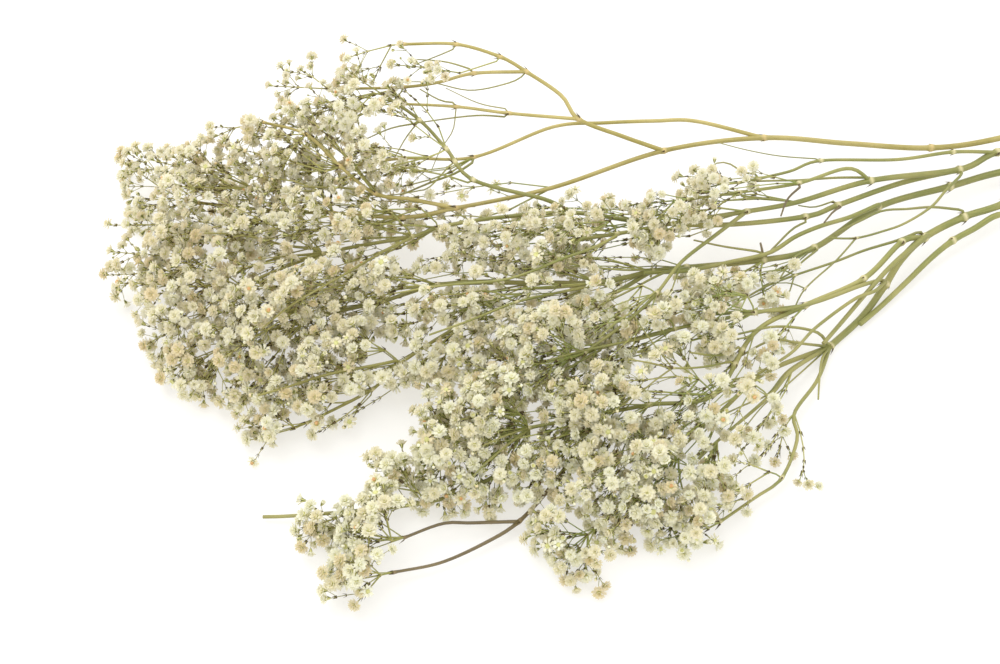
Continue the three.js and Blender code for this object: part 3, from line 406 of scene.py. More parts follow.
# Fine twigs, and dead ones: what each one grows from, the radius at both ends, and its waypoints
FINE_TWIGS = {
    "arch_tip_twig": ("back_arch", 6, (0.5, 0.3), [(-150, 125, 83), (-163, 122, 79)]),
    "arch_middle_twig": ("back_arch_middle", 1, (0.6, 0.35), [(-146, 122, 81), (-165, 125, 80)]),
    "arch_low_twig": ("back_arch", 4, (0.5, 0.3), [
        (-110, 115, 71), (-132, 113, 67), (-155, 120, 66), (-176, 122, 64),
    ]),
    "low_fork_twig": ("back_arch_low", 2, (0.6, 0.35), [(-149, 108, 64), (-161, 114, 67)]),
    "low_side_twig": ("back_arch_low", 1, (0.6, 0.35), [(-129, 100, 60), (-157, 99, 56), (-176, 98, 52)]),
    "low_bud_twig": ("back_arch_low", 1, (0.45, 0.25), [(-127, 104, 66), (-146, 112, 70)]),
    "low_hanging_twig": ("back_arch_low", 2, (0.4, 0.25), [(-142, 93, 55), (-149, 83, 50), (-154, 72, 45)]),
    "back_side_twig": ("back_low", 5, (0.8, 0.5), [(-140, 70, 45), (-155, 66, 41), (-172, 60, 37)]),
    "diagonal_twig": ("upper_diagonal", 4, (0.6, 0.35), [(-176, 80, 72), (-191, 75, 68)]),
    "diagonal_low_twig": ("upper_diagonal", 4, (0.5, 0.3), [(-168, 75, 69), (-174, 65, 64)]),
    "high_back_twig": ("upper_high", 3, (0.45, 0.3), [(48, 90, 36), (30, 96, 34), (12, 103, 33)]),
    "high_arched_twig": ("upper_high", 4.6, (0.7, 0.35), [
        (23, 70, 46), (16, 74, 48), (9, 75, 48), (2, 72, 44),
    ]),
    "short_side_twig": ("upper_short", 3, (0.6, 0.45), [(32, 56, 40), (47, 57, 36)]),
    "long_side_twig": ("upper_long", 2, (0.6, 0.4), [(66, 62, 24), (56, 60, 28)]),
    "middle_back_twig": ("middle", 6, (0.8, 0.5), [(31, 33, 20), (12, 35, 22), (-5, 38, 24)]),
    "cross_twig": ("upper_long", 3, (0.7, 0.6), [(52, 46, 24), (42, 37, 20), (36, 31, 18)]),
    "middle_twin": ("middle", 4, (1.4, 1.1), [
        (87, 58, 20), (70, 51, 21), (54, 43, 21), (38, 32, 20), (15, 24, 22), (-10, 14, 27), (-35, 8, 33),
    ]),
    "long_thin": ("upper", 3, (0.9, 0.6), [
        (143, 74, 24), (133, 62, 24), (117, 51, 23), (104, 46, 22), (88, 41, 22), (72, 41, 22),
    ]),
    "long_thin_side": ("long_thin", 5, (0.6, 0.45), [(75, 25, 22), (56, 6, 21), (48, -8, 18)]),
    "thin_fork": ("long_thin_side", 2, (0.45, 0.3), [(48, 9, 22), (38, 9, 22)]),
    "front_bow": ("front", 4, (0.85, 0.6), [
        (149, 66, 17), (135, 66, 19), (120, 63, 21), (105, 60, 23), (91, 53, 22), (75, 45, 20),
    ]),
    "front_low_twin": ("front", 7, (1.1, 0.8), [
        (96, 8, 16), (83, 0, 19), (59, -21, 21), (45, -36, 19), (25, -52, 22),
    ]),
    "front_high_twin": ("front", 7, (1.2, 0.8), [
        (88, 9, 20), (67, -3, 24), (54, -9, 26), (38, -12, 25), (20, -14, 27), (-5, -20, 32),
    ]),
    "front_parallel": ("front", 5, (1.5, 1.2), [
        (124, 42, 16), (108, 26, 17), (93, 9, 16), (78, -9, 14), (64, -26, 13),
    ]),
    "front_second": ("front", 3, (1.9, 1.5), [
        (173, 67, 9), (161, 59, 8), (147, 50, 8), (133, 38, 7), (117, 22, 5), (101, 6, 4), (88, -6, 3.4),
    ]),
    "middle_low_twig": ("middle", 5, (0.7, 0.5), [(57, 27, 19), (48, 17, 20), (33, 10, 18)]),
    "middle_lower_twig": ("middle", 5, (0.6, 0.4), [(52, 30, 18), (40, 12, 17), (24, 0, 20)]),
    "front_short_twig": ("front", 9, (0.8, 0.5), [(63, -34, 9), (60, -50, 9), (58, -62, 12)]),
    "front_side_twig": ("front", 9, (1.0, 0.6), [(60, -20, 16), (38, -20, 21), (15, -28, 25)]),
    "front_low_twig": ("front", 9, (0.9, 0.6), [(50, -27, 15), (35, -27, 18), (15, -40, 20)]),
    "back_level_twig": ("back_tip", 2, (0.8, 0.5), [(-200, 57, 47), (-215, 57, 48), (-229, 56, 50)]),
    "tip_level_twig": ("back_tip", 3, (0.5, 0.3), [(-219, 62, 56), (-229, 64, 55)]),
    "back_crossing_twig": ("back", 10, (0.5, 0.35), [(-180, 45, 43), (-188, 45, 51), (-201, 47, 56)]),
    "back_tip_twin": ("back_tip", 2, (0.7, 0.45), [
        (-191, 61, 51), (-198, 69, 55), (-207, 76, 59), (-214, 83, 62),
    ]),
    "diagonal_lower_twig": ("upper_diagonal", 2, (0.6, 0.35), [
        (-146, 55, 61), (-163, 56, 65), (-177, 60, 65), (-191, 64, 66),
    ]),
    "diagonal_falling_twig": ("upper_diagonal", 2.6, (0.5, 0.3), [
        (-154, 51, 56), (-161, 52, 51), (-173, 51, 49), (-188, 51, 46),
    ]),
    "long_rising_twig": ("upper_long", 10, (0.9, 0.5), [
        (-233, 26, 34), (-243, 26, 38), (-253, 27, 41), (-268, 27, 44), (-279, 25, 47),
    ]),
    "long_level_twig": ("upper_long", 10, (0.5, 0.3), [(-237, 14, 40), (-249, 3, 52)]),
    "long_falling_twig": ("upper_long", 10, (0.7, 0.4), [(-232, 9, 33), (-251, -2, 36), (-259, -3, 38)]),
    "long_lower_twig": ("upper_long", 9, (0.8, 0.5), [
        (-179, 18, 40), (-197, -2, 48), (-216, -16, 48), (-229, -27, 49), (-242, -41, 49),
    ]),
    "long_upper_twig": ("upper_long", 9, (0.6, 0.4), [
        (-176, 33, 38), (-187, 34, 42), (-198, 34, 44), (-210, 30, 47),
    ]),
    "upper_end_twig": ("upper", 8, (0.9, 0.6), [
        (-64, 14, 48), (-82, 3, 52), (-99, -5, 51), (-115, -9, 49), (-140, -11, 48), (-158, -13, 47),
    ]),
    "middle_long_twig": ("middle", 9, (0.9, 0.55), [
        (-84, -8, 36), (-106, -17, 40), (-123, -26, 41), (-134, -32, 42), (-153, -41, 43),
    ]),
    "middle_level_twig": ("middle", 9, (0.8, 0.5), [(-84, -3, 34), (-101, -6, 37), (-118, -9, 39)]),
    "middle_branch_twig": ("middle_long_twig", 2, (0.6, 0.4), [
        (-121, -11, 42), (-136, -13, 42), (-150, -15, 44),
    ]),
    "middle_diagonal_twig": ("middle", 7, (0.85, 0.5), [
        (-21, 10, 32), (-32, 2, 35), (-42, -6, 37), (-53, -14, 39), (-66, -23, 41),
    ]),
    "middle_straight_twig": ("middle", 8, (0.7, 0.4), [(-46, 7, 37), (-64, 3, 45), (-77, 3, 48)]),
    "middle_crossing_twig": ("middle", 12, (0.5, 0.3), [(-193, -1, 31), (-200, -12, 30), (-211, -16, 29)]),
    "front_crossing_twig": ("upper_front", 3, (0.7, 0.45), [(-44, -33, 54), (-55, -46, 60), (-63, -54, 59)]),
    "front_upper_twig": ("front_upper", 2, (0.8, 0.5), [
        (-39, -40, 38), (-54, -47, 43), (-72, -53, 45), (-89, -60, 47),
    ]),
    "front_left_twig": ("middle_front", 4, (1.0, 0.6), [
        (-181, -46, 22), (-205, -55, 27), (-215, -59, 28), (-229, -66, 30), (-244, -72, 31),
    ]),
    "front_left_low_twig": ("middle_front", 5, (0.6, 0.4), [
        (-197, -66, 16), (-206, -68, 18), (-219, -67, 18), (-231, -69, 19),
    ]),
    "front_left_bud_twig": ("middle_front", 5, (0.4, 0.3), [(-193, -67, 9), (-197, -73, 8)]),
    "upper_straight_twig": ("upper", 4, (0.85, 0.5), [
        (80, 83, 25), (59, 82, 24), (39, 79, 27), (17, 75, 30), (0, 67, 34),
    ]),
    "right_long_twig": ("front", 5, (0.9, 0.6), [
        (113, 44, 16), (93, 36, 17), (75, 27, 18), (51, 16, 20), (35, 8, 21), (20, -3, 23),
    ]),
    "right_arch_twig": ("right_long_twig", 4, (0.5, 0.3), [(44, 15, 26), (35, 13, 28), (26, 10, 29)]),
    "right_small_twig": ("right_long_twig", 4, (0.5, 0.3), [(45, 0, 22), (37, -2, 25), (28, -6, 27)]),
    "cross_long_twig": ("front_long", 4.5, (0.7, 0.45), [
        (-6, -55, 33), (-23, -59, 38), (-33, -59, 42), (-47, -58, 45),
    ]),
    "cross_side_twig": ("cross_long_twig", 2, (0.5, 0.4), [(-33, -69, 41), (-41, -76, 40), (-51, -82, 38)]),
    "cross_back_twig": ("cross_long_twig", 2, (0.45, 0.35), [(-31, -51, 44), (-40, -40, 50), (-44, -34, 53)]),
    "front_long_twig": ("front_long", 4.3, (0.8, 0.5), [(7, -44, 29), (-2, -48, 34), (-13, -49, 38)]),
    "low_dark_twig": ("front", 9, (0.7, 0.45), [(45, -39, 7), (31, -58, 11), (18, -66, 13), (4, -75, 16)]),
    "low_thin_twig": ("front", 9, (0.55, 0.35), [(39, -53, 7), (27, -66, 10), (14, -84, 12)]),
    "fan_low_twig": ("front_long", 8, (0.6, 0.4), [(-111, -104, 33), (-122, -116, 35), (-129, -125, 36)]),
    "fan_middle_twig": ("front_long", 8, (0.5, 0.35), [(-111, -101, 38), (-124, -112, 45)]),
    "fan_high_twig": ("front_long", 8, (0.5, 0.35), [(-110, -89, 36), (-121, -86, 39), (-131, -86, 41)]),
    "upper_dark_twig": ("front_upper", 3, (0.8, 0.5), [
        (-73, -54, 36), (-86, -63, 36), (-99, -73, 36), (-108, -86, 37),
    ]),
}
DEAD_TWIGS = {
    "short_dead_twig": ("upper_short", 2, (0.8, 0.5), [(47, 51, 45), (42, 38, 46)]),
    "long_dead_twig": ("upper_long", 2, (0.8, 0.5), [(76, 57, 26), (70, 49, 26)]),
    "middle_dead_twig": ("middle", 6, (0.9, 0.6), [(33, 37, 23)]),
}

# Knots from which nothing grows: the limb, and its waypoints
PLAIN_KNOTS = {
    "back": (2, 4), "middle": (3,), "upper_high": (1, 3), "front_long": (1, 2), "front_second": (3,),
}

# Stretches of limbs with nothing growing in front of them, from one waypoint to another
CLEARINGS = [
    ("back", 8, 10.5), ("back_tip", 1, 3), ("back_level_twig", 0, 3), ("upper_long", 7, 9.5),
    ("upper_diagonal", 2, 4), ("long_rising_twig", 0, 4), ("long_lower_twig", 0, 4.5),
    ("upper_end_twig", 0, 5.5), ("middle", 5, 9), ("middle", 10, 12.5), ("middle_long_twig", 0, 5),
    ("middle_diagonal_twig", 0, 5), ("front_left_twig", 0, 4.5), ("front_upper_twig", 0, 4),
    ("front_crossing_twig", 0, 3), ("upper_dark_twig", 0, 4), ("front_long", 2, 6.5),
    ("right_long_twig", 2, 6), ("cross_long_twig", 0, 4), ("cross_side_twig", 0, 3), ("fan_low_twig", 0, 3),
    ("upper_front", 0, 3),
]

# Places between the sprays where nothing finer grows: the middle of each and its radius
OPEN_PLACES = [
    (-169, -84, 14, 12), (-165, -67, 14, 9), (68, -79, 8, 9), (19, -70, 16, 10), (25, -113, 12, 8),
    (11, -150, 8, 9), (-57, -170, 6, 6), (-26, -51, 22, 10), (-17, 34, 22, 6), (-44, -1, 24, 6),
    (25, 44, 18, 8), (-42, 55, 46, 8), (-5, 73, 48, 7), (-155, 28, 26, 8), (-164, 86, 50, 8),
    (-186, 95, 55, 6), (-199, 127, 92, 8), (-306, 111, 28, 11), (-257, 109, 60, 9), (-335, 40, 40, 6),
    (-324, -6, 25, 6), (-219, -166, 6, 8), (16, -132, 8, 8), (41, -125, 5, 9), (-193, -184, 5, 9),
    (-246, -97, 8, 8),
]

# Thin shoots that fill open places: the limb and waypoint that carry them, then the tip of each
THIN_SHOOTS = [
    ("front_long", 6, [(-70, -105, 24), (-60, -105, 12), (-75, -115, 14)]),
    ("front_long", 7, [
        (-85, -110, 26), (-90, -120, 16), (-100, -115, 28), (-85, -130, 10), (-105, -125, 14),
    ]),
    ("front_long", 8, [
        (-115, -120, 26), (-125, -125, 14), (-130, -120, 24), (-140, -125, 14), (-110, -130, 10),
        (-135, -133, 12), (-148, -130, 10), (-105, -132, 10), (-135, -103, 18),
    ]),
    ("front_long", 9, [
        (-150, -115, 24), (-145, -110, 28), (-139, -97, 14), (-161, -115, 12), (-147, -121, 10),
    ]),
    ("middle_front", 2, [(-140, -45, 26), (-130, -55, 14)]),
    ("middle_front", 3, [
        (-150, -50, 18), (-160, -50, 28), (-165, -55, 14), (-170, -50, 24), (-172, -30, 24), (-181, -35, 20),
        (-185, -38, 14),
    ]),
    ("middle_front", 4, [
        (-185, -55, 26), (-190, -60, 20), (-200, -55, 26), (-196, -62, 14), (-202, -57, 18),
    ]),
    ("middle_front", 5, [(-220, -75, 12), (-212, -77, 7)]),
    ("middle", 13, [(-256, -62, 14), (-263, -65, 8)]),
    ("bare", 3, [(-195, -128, 14), (-200, -132, 10)]),
    ("bare", 4, [(-220, -133, 10), (-215, -142, 8), (-228, -134, 8)]),
    ("brown_side", 3, [(-205, -150, 12), (-215, -160, 9), (-195, -145, 20)]),
    ("front_long", 3, [
        (20, -10, 40), (30, -30, 34), (20, -25, 44), (30, -40, 24), (16, -20, 26), (11, -23, 20),
    ]),
    ("front_long", 4, [(10, -50, 38), (15, -60, 26), (25, -60, 16), (3, -57, 20), (-13, -72, 26)]),
    ("front_high", 3, [(-10, -120, 34), (-15, -125, 22), (-5, -125, 30)]),
    ("front_middle", 3, [(-35, -140, 16), (-30, -145, 9), (-45, -140, 26), (-17, -148, 8), (-29, -145, 10)]),
    ("front_middle", 4, [(-42, -146, 7), (-49, -143, 12)]),
    ("front_middle", 5, [(-69, -143, 12), (-93, -158, 6), (-84, -150, 9)]),
    ("back_arch_middle", 2, [(-171, 114, 78), (-177, 113, 72), (-166, 112, 70), (-174, 104, 76)]),
    ("back_arch_middle", 3, [(-243, 118, 70), (-239, 111, 64), (-229, 103, 60)]),
    ("front_low", 5, [(-5, -145, 8), (-15, -150, 8), (-10, -145, 18)]),
    ("upper_short", 4, [(-35, 20, 52), (-40, 15, 48), (-30, 20, 40)]),
    ("back_tip", 5, [(-260, 90, 62), (-255, 85, 56), (-265, 90, 56)]),
    ("front_low", 1, [(55, -70, 13)]),
    ("upper_front", 4, [(-72, -24, 38), (-77, -10, 30)]),
    ("front_upper", 4, [(-107, -69, 24), (-112, -62, 18)]),
    ("back", 11, [(-219, 70, 36), (-212, 76, 30)]),
    ("back", 12, [(-262, 35, 28), (-253, 43, 20)]),
    ("back", 13, [(-308, 60, 26), (-302, 56, 20)]),
    ("middle", 6, [(5, 10, 32), (20, 10, 24), (20, 0, 28), (28, -3, 22)]),
    ("upper_long", 10, [(-273, -2, 32), (-266, 5, 36)]),
    ("upper_long", 11, [(-315, 22, 30), (-305, 32, 34)]),
    ("upper", 7, [(-59, 26, 46), (-52, 20, 50)]),
]

# ---- Curves and directions ----

UP = np.array((0.0, 0.0, 1.0))


def point(*place):
    return np.array(place, dtype=float)


def cross(a, b):
    return point(a[1] * b[2] - a[2] * b[1], a[2] * b[0] - a[0] * b[2], a[0] * b[1] - a[1] * b[0])


def length_of(a):
    return math.sqrt(a[0] * a[0] + a[1] * a[1] + a[2] * a[2])


def unit(a):
    return a / length_of(a)


def mix(a, b, share):
    return a + (b - a) * share


def square_frame(direction):
    """Two directions square to a given one, the first of them level."""
    level = cross(direction, UP)
    if length_of(level) < STEEP:
        level = point(1, 0, 0)
    level = unit(level)
    return level, unit(cross(level, direction))


def outward_at(direction, turn):
    """The direction square to a stalk at a turn round it, in degrees from level."""
    level, upward = square_frame(direction)
    angle = math.radians(turn)
    return level * math.cos(angle) + upward * math.sin(angle)


class SeededRandom:
    """Repeatable random numbers from 0 to 1 (the mulberry32 generator)."""

    LOW_BITS = 0xFFFFFFFF

    def __init__(self, seed):
        self.state = seed

    def __call__(self):
        self.state = (self.state + 0x6D2B79F5) & self.LOW_BITS
        value = self.state
        value = ((value ^ (value >> 15)) * (1 | value)) & self.LOW_BITS
        stirred = ((value ^ (value >> 7)) * (61 | value)) & self.LOW_BITS
        value = ((value + stirred) & self.LOW_BITS) ^ value
        return (value ^ (value >> 14)) / (self.LOW_BITS + 1)

    def between(self, low, high):
        return low + (high - low) * self()


class LimbPath:
    """A limb's centre line through its waypoints: waypoint number in, place or direction out."""

    def __init__(self, points):
        self.points = points
        self.last = len(points) - 1

    def at(self, waypoint):
        points = self.points
        first = min(int(waypoint), self.last - 1)
        start = points[first]
        end = points[first + 1]
        before = points[first - 1] if first > 0 else 2 * start - end
        after = points[first + 2] if first + 2 <= self.last else 2 * end - start
        share = waypoint - first
        leave = (end - before) / 2
        arrive = (after - start) / 2
        square = 3 * (end - start) - 2 * leave - arrive
        cube = 2 * (start - end) + leave + arrive
        return start + leave * share + square * share ** 2 + cube * share ** 3

    def direction(self, waypoint):
        step = 0.02
        return unit(self.at(min(waypoint + step, self.last)) - self.at(max(waypoint - step, 0)))


class ShootCurve:
    """A curve with a handle at each end: share of its length in, place or direction out."""

    def __init__(self, start, leave, lead, end):
        self.corners = (start, leave, lead, end)

    def at(self, share):
        start, leave, lead, end = self.corners
        rest = 1 - share
        return (start * rest ** 3 + 3 * leave * rest ** 2 * share
                + 3 * lead * rest * share ** 2 + end * share ** 3)

    def direction(self, share):
        step = 0.0001
        return unit(self.at(min(share + step, 1)) - self.at(max(share - step, 0)))


# ---- Room between stalks ----

class TakenRoom:
    """Every stretch of limb or stalk, and every floret as a ball, taken up so far, listed by cell."""

    def __init__(self, clearance=0.0):
        self.clearance = clearance
        self.count = 0
        self.starts = np.zeros((MOST_STRETCHES, 3))
        self.ways = np.zeros((MOST_STRETCHES, 3))
        self.squares = np.zeros(MOST_STRETCHES)
        self.radii = np.zeros(MOST_STRETCHES)
        self.cells = {}

    @staticmethod
    def cells_near(start, end, margin):
        """The cells of space that a stretch and a margin round it can touch."""
        spans = []
        for first, last in zip(start.tolist(), end.tolist()):
            low = math.floor((min(first, last) - margin) / ROOM_CELL)
            high = math.floor((max(first, last) + margin) / ROOM_CELL)
            spans.append(range(low, high + 1))
        return itertools.product(*spans)

    def add(self, start, end, radius):
        way = end - start
        self.starts[self.count] = start
        self.ways[self.count] = way
        self.squares[self.count] = way @ way
        self.radii[self.count] = radius
        for cell in self.cells_near(start, end, radius + self.clearance):
            self.cells.setdefault(cell, []).append(self.count)
        self.count += 1

    def add_ball(self, centre, radius):
        self.add(centre, centre, radius)

    def is_free(self, start, end, radius):
        """Whether a stretch of a radius keeps its clearance from all that is taken."""
        near = set()
        for cell in self.cells_near(start, end, radius):
            near.update(self.cells.get(cell, ()))
        if not near:
            return True
        near = list(near)
        ways = self.ways[near]
        squares = self.squares[near]
        own = end - start
        own_square = own @ own
        gaps = start - self.starts[near]
        across = ways @ own
        own_gap = gaps @ own
        way_gap = (gaps * ways).sum(1)
        spread = own_square * squares - across ** 2
        shares = self.shares(across * way_gap - own_gap * squares, spread)
        way_shares = self.shares(across * shares + way_gap, squares)
        shares = self.shares(across * way_shares - own_gap, own_square)
        gaps += shares[:, None] * own - way_shares[:, None] * ways
        reach = radius + self.radii[near] + self.clearance
        return bool(((gaps ** 2).sum(1) >= reach ** 2).all())

    def is_ball_free(self, centre, radius):
        return self.is_free(centre, centre, radius)

    @staticmethod
    def shares(upper, lower):
        """Quotients kept from 0 to 1, and 0 where nothing can be divided by."""
        safe = np.where(lower > LEAST_DIVISOR, lower, 1)
        return np.where(lower > LEAST_DIVISOR, np.clip(upper / safe, 0, 1), 0)


# ---- Limbs, shoots and the florets that end them ----

# A node of a shoot: its centre, the stalk's direction, its share of the length, and its turn round the stalk
Knot = namedtuple("Knot", "centre direction place turn")
Shoot = namedtuple("Shoot", "root curve knots floret")
SideShoot = namedtuple("SideShoot", "knot floret is_open")


class Limb:
    """A limb or twig, built from its row in a table and what carries it."""

    def __init__(self, limbs, node, carrier, radii, route):
        self.node = node
        self.radii = radii
        self.knots = set()
        self.root = None
        points = [point(*place) for place in route]
        if carrier:
            name, waypoint = carrier
            parent = limbs[name]
            parent.knots.add(waypoint)
            self.root = parent.path.at(waypoint)
            is_same_node = parent.node == node
            start = self.root if is_same_node else parent.seat(waypoint, points[0], radii[0])[0]
            points.insert(0, start)
        self.path = LimbPath(points)

    def radius_at(self, waypoint):
        return mix(*self.radii, waypoint / self.path.last)

    def seat(self, waypoint, target, radius):
        """Where something grows from a knot, and in which direction."""
        centre = self.path.at(waypoint)
        along = self.path.direction(waypoint)
        if waypoint == self.path.last:
            return centre + along * JOINT_GAP, along
        outward = target - centre
        outward = unit(outward - along * (outward @ along))
        rise = self.radius_at(waypoint) * NODE_SWELL + JOINT_GAP + ELBOW_RISE * radius
        return centre + outward * rise, outward


def fork_turns(centre, direction, tips):
    """The turns round a fork at which one or two branches leave it."""
    level, upward = square_frame(direction)
    turns = [math.degrees(math.atan2((tip - centre) @ upward, (tip - centre) @ level)) for tip in tips]
    if len(turns) == 1:
        return turns
    between = (turns[1] - turns[0] + 180) % 360 - 180
    apart = -FORK_TURN if between < 0 else FORK_TURN
    first = turns[0] + (between - apart) / 2
    return [first, first + apart]


def knot_places(length):
    """Where a shoot has its knots, as shares of its length."""
    return next(list(places) for least, places in KNOT_PLACES if length > least)


class Floret:
    """A floret facing along its stalk, turned up a little, its centre at a given place."""

    def __init__(self, centre, stalk_start, reach=FLORET_REACH):
        self.centre = point(centre[0], centre[1], max(centre[2], reach))
        self.facing = unit(unit(self.centre - stalk_start) + UP * FLORET_TURN_UP)
        self.neck = self.centre - self.facing * FLORET_CENTRE


class Spray:
    """A spray as the solids have it: its shoots to each tip, and the side shoots at their knots."""

    def __init__(self, number, carrier, waypoint, tips):
        self.name = f"spray_{number:02d}"
        self.random = SeededRandom(number)
        self.carrier = carrier
        self.waypoint = waypoint
        self.tips = [point(*tip) for tip in tips]
        self.shoots = []
        self.side_shoots = []
        carrier.knots.add(waypoint)

    def grow_shoots(self, room):
        """The shoots that reach the tips, bent round what is already there."""
        main_tip, *other_tips = self.tips
        elbow, direction = self.carrier.seat(self.waypoint, main_tip, SHOOT_BASE_RADIUS)
        root = self.carrier.path.at(self.waypoint)
        main = self.grow_shoot(room, root, elbow, direction, main_tip, other_tips)
        if not main or not other_tips:
            return
        fork = main.knots[0]
        turns = fork_turns(fork.centre, fork.direction, other_tips)
        for tip, turn in zip(other_tips, turns):
            direction = unit(fork.direction + outward_at(fork.direction, turn))
            self.grow_shoot(room, fork.centre, fork.centre, direction, tip, [])

    def grow_shoot(self, room, root, elbow, direction, tip, other_tips):
        length = length_of(tip - elbow)
        places = knot_places(length)
        if other_tips or length > LEAST_BENT_LENGTH:
            places.insert(0, FORK_PLACE)
        chord = unit(tip - elbow)
        for attempt in range(BEND_TRIES):
            size = min(BEND_STEP * math.sqrt(attempt), MOST_BEND * length)
            bend = outward_at(chord, GOLDEN_TURN * attempt) * size
            centre = tip + bend * BEND_AT_TIP
            lead = centre - chord * CURVE_HANDLE * length + bend * BEND_AT_LEAD
            floret = Floret(centre, lead)
            leave = elbow + direction * CURVE_HANDLE * length + bend * BEND_AT_ROOT
            curve = ShootCurve(elbow, leave, lead, floret.neck)
            if self.is_shoot_free(room, [curve.at(share) for share in (0, *places, 1)], floret):
                return self.build_shoot(room, root, curve, places, floret, other_tips)
        return None

    @staticmethod
    def is_shoot_free(room, line, floret):
        if any(place[2] < SHOOT_BASE_RADIUS for place in line):
            return False
        root_share = min(SHOOT_ROOT_LENGTH / length_of(line[1] - line[0]), MOST_ROOT_SHARE)
        stretches = [mix(line[0], line[1], root_share), *line[1:]]
        if not room.is_ball_free(floret.centre, FLORET_REACH):
            return False
        return all(room.is_free(*ends, SHOOT_BASE_RADIUS) for ends in zip(stretches, stretches[1:]))

    def build_shoot(self, room, root, curve, places, floret, other_tips):
        first_turn = self.random.between(0, 180)
        knots = []
        previous = curve.at(0)
        for place in places:
            centre = curve.at(place)
            if place != FORK_PLACE or other_tips:
                turn = first_turn + 90 * len(knots)
                knots.append(Knot(centre, curve.direction(place), place, turn))
            room.add(previous, centre, mix(SHOOT_BASE_RADIUS, SHOOT_TIP_RADIUS, place))
            previous = centre
        room.add(previous, floret.neck, SHOOT_TIP_RADIUS)
        room.add_ball(floret.centre, FLORET_REACH)
        shoot = Shoot(root, curve, knots, floret)
        self.shoots.append(shoot)
        return shoot

    def grow_side_shoots(self, room):
        """Two opposite side shoots at each knot, each pair turned from the last."""
        for index, shoot in enumerate(self.shoots):
            is_forked = index == 0 and len(self.tips) > 1
            for knot in shoot.knots[1 if is_forked else 0:]:
                self.grow_side_shoot(room, knot, knot.turn, 1)
                self.grow_side_shoot(room, knot, knot.turn + 180, -1)

    def grow_side_shoot(self, room, knot, turn, handed):
        full_length = SIDE_SHOOT_LENGTH * (1 - SIDE_SHOOT_TAPER * knot.place)
        length = full_length * self.random.between(*SIDE_SHOOT_VARIATION)
        spread = math.radians(SPREAD_ANGLE + SPREAD_VARIATION * (self.random() - 0.5))
        is_open = self.random() < OPEN_SHARE
        for extra_turn, share in SIDE_TRIES:
            outward = outward_at(knot.direction, turn + handed * extra_turn)
            direction = knot.direction * math.cos(spread) + outward * math.sin(spread)
            floret = Floret(knot.centre + direction * length * share, knot.centre)
            stalk = unit(floret.neck - knot.centre)
            root = knot.centre + stalk * SIDE_ROOT_LENGTH
            if (stalk @ outward > LEAST_LEAN and room.is_free(root, floret.neck, SIDE_SHOOT_RADIUS)
                    and room.is_ball_free(floret.centre, FLORET_REACH)):
                room.add(root, floret.neck, SIDE_SHOOT_RADIUS)
                room.add_ball(floret.centre, FLORET_REACH)
                self.side_shoots.append(SideShoot(knot, floret, is_open))
                return


def fill_limb_room(room, limb, factor):
    for step in range(int(limb.path.last / ROOM_STEP)):
        waypoint = step * ROOM_STEP
        place = limb.path.at(waypoint)
        room.add(place, limb.path.at(waypoint + ROOM_STEP), limb.radius_at(waypoint) * factor)


def grow_all():
    """All limbs and sprays, where the solids have them."""
    limbs = {}
    for name, row in LIMBS.items():
        limbs[name] = Limb(limbs, *row)
    room = TakenRoom(CLEARANCE)
    for limb in limbs.values():
        fill_limb_room(room, limb, LIMB_ROOM)
    sprays = [Spray(number, limbs[limb], waypoint, tips)
              for number, (limb, waypoint, tips) in enumerate(SPRAYS, 1)]
    for spray in sprays:
        spray.grow_shoots(room)
    for spray in sprays:
        spray.grow_side_shoots(room)
    return limbs, sprays


def add_twigs(limbs):
    """Adds the fine twigs to the limbs, each after what carries it."""
    for node, twigs in (("fine_twigs", FINE_TWIGS), ("dead_twigs", DEAD_TWIGS)):
        for name, (*carrier, radii, route) in twigs.items():
            limbs[name] = Limb(limbs, node, carrier, radii, route)
    for name, waypoints in PLAIN_KNOTS.items():
        limbs[name].knots.update(waypoints)


# ---- Finer growth: what the solids are too coarse for ----

# A floret or bud: where its neck is, which way it faces, its kind, size and tone
Bloom = namedtuple("Bloom", "neck facing kind size tone")
# A pair of small dead leaves at a knot
Bract = namedtuple("Bract", "place direction turn size")
# A stalk that bears pedicels: from which share of its length, its line, how full, and their florets' scale
Bearer = namedtuple("Bearer", "first at flowering bloom_scale")


class Strand:
    """A round stalk: the line it follows, its radius at both ends, and where its knots are."""

    def __init__(self, line, radii, knots, knot_width, tone):
        self.line = np.array(line)
        self.radii = radii
        self.knot_width = knot_width
        self.tone = tone
        steps = np.sqrt((np.diff(self.line, axis=0) ** 2).sum(1))
        self.distances = np.concatenate(([0.0], np.cumsum(steps)))
        self.knots = np.array([self.distances[index] for index in knots])

    def stations(self):
        """How far along it the rings lie: evenly, and closer together at its knots."""
        length = self.distances[-1]
        even = np.linspace(0, length, max(3, round(length / RING_SPACING)) + 1)
        near = (self.knots[:, None] + np.array(KNOT_RINGS) * self.knot_width).ravel()
        near = near[(near > 0) & (near < length)]
        if len(near):
            gaps = np.abs(even[:, None] - near).min(1)
            gaps[[0, -1]] = length
            even = even[gaps > self.knot_width]
        stations = np.unique(np.concatenate((even, near)))
        return stations[np.diff(stations, prepend=-1) > LEAST_RING_GAP]

    def rings(self):
        """For each ring its place, its radius, the share of a knot in it, and its distance along."""
        stations = self.stations()
        places = np.stack([np.interp(stations, self.distances, axis) for axis in self.line.T], 1)
        swelling = np.zeros(len(stations))
        if len(self.knots):
            nearest = np.abs(stations[:, None] - self.knots).min(1)
            swelling = np.exp(-(nearest / self.knot_width) ** 2)
        radii = mix(self.radii[0], self.radii[1], stations / self.distances[-1])
        return places, radii * (1 + KNOT_RISE * swelling), swelling, stations


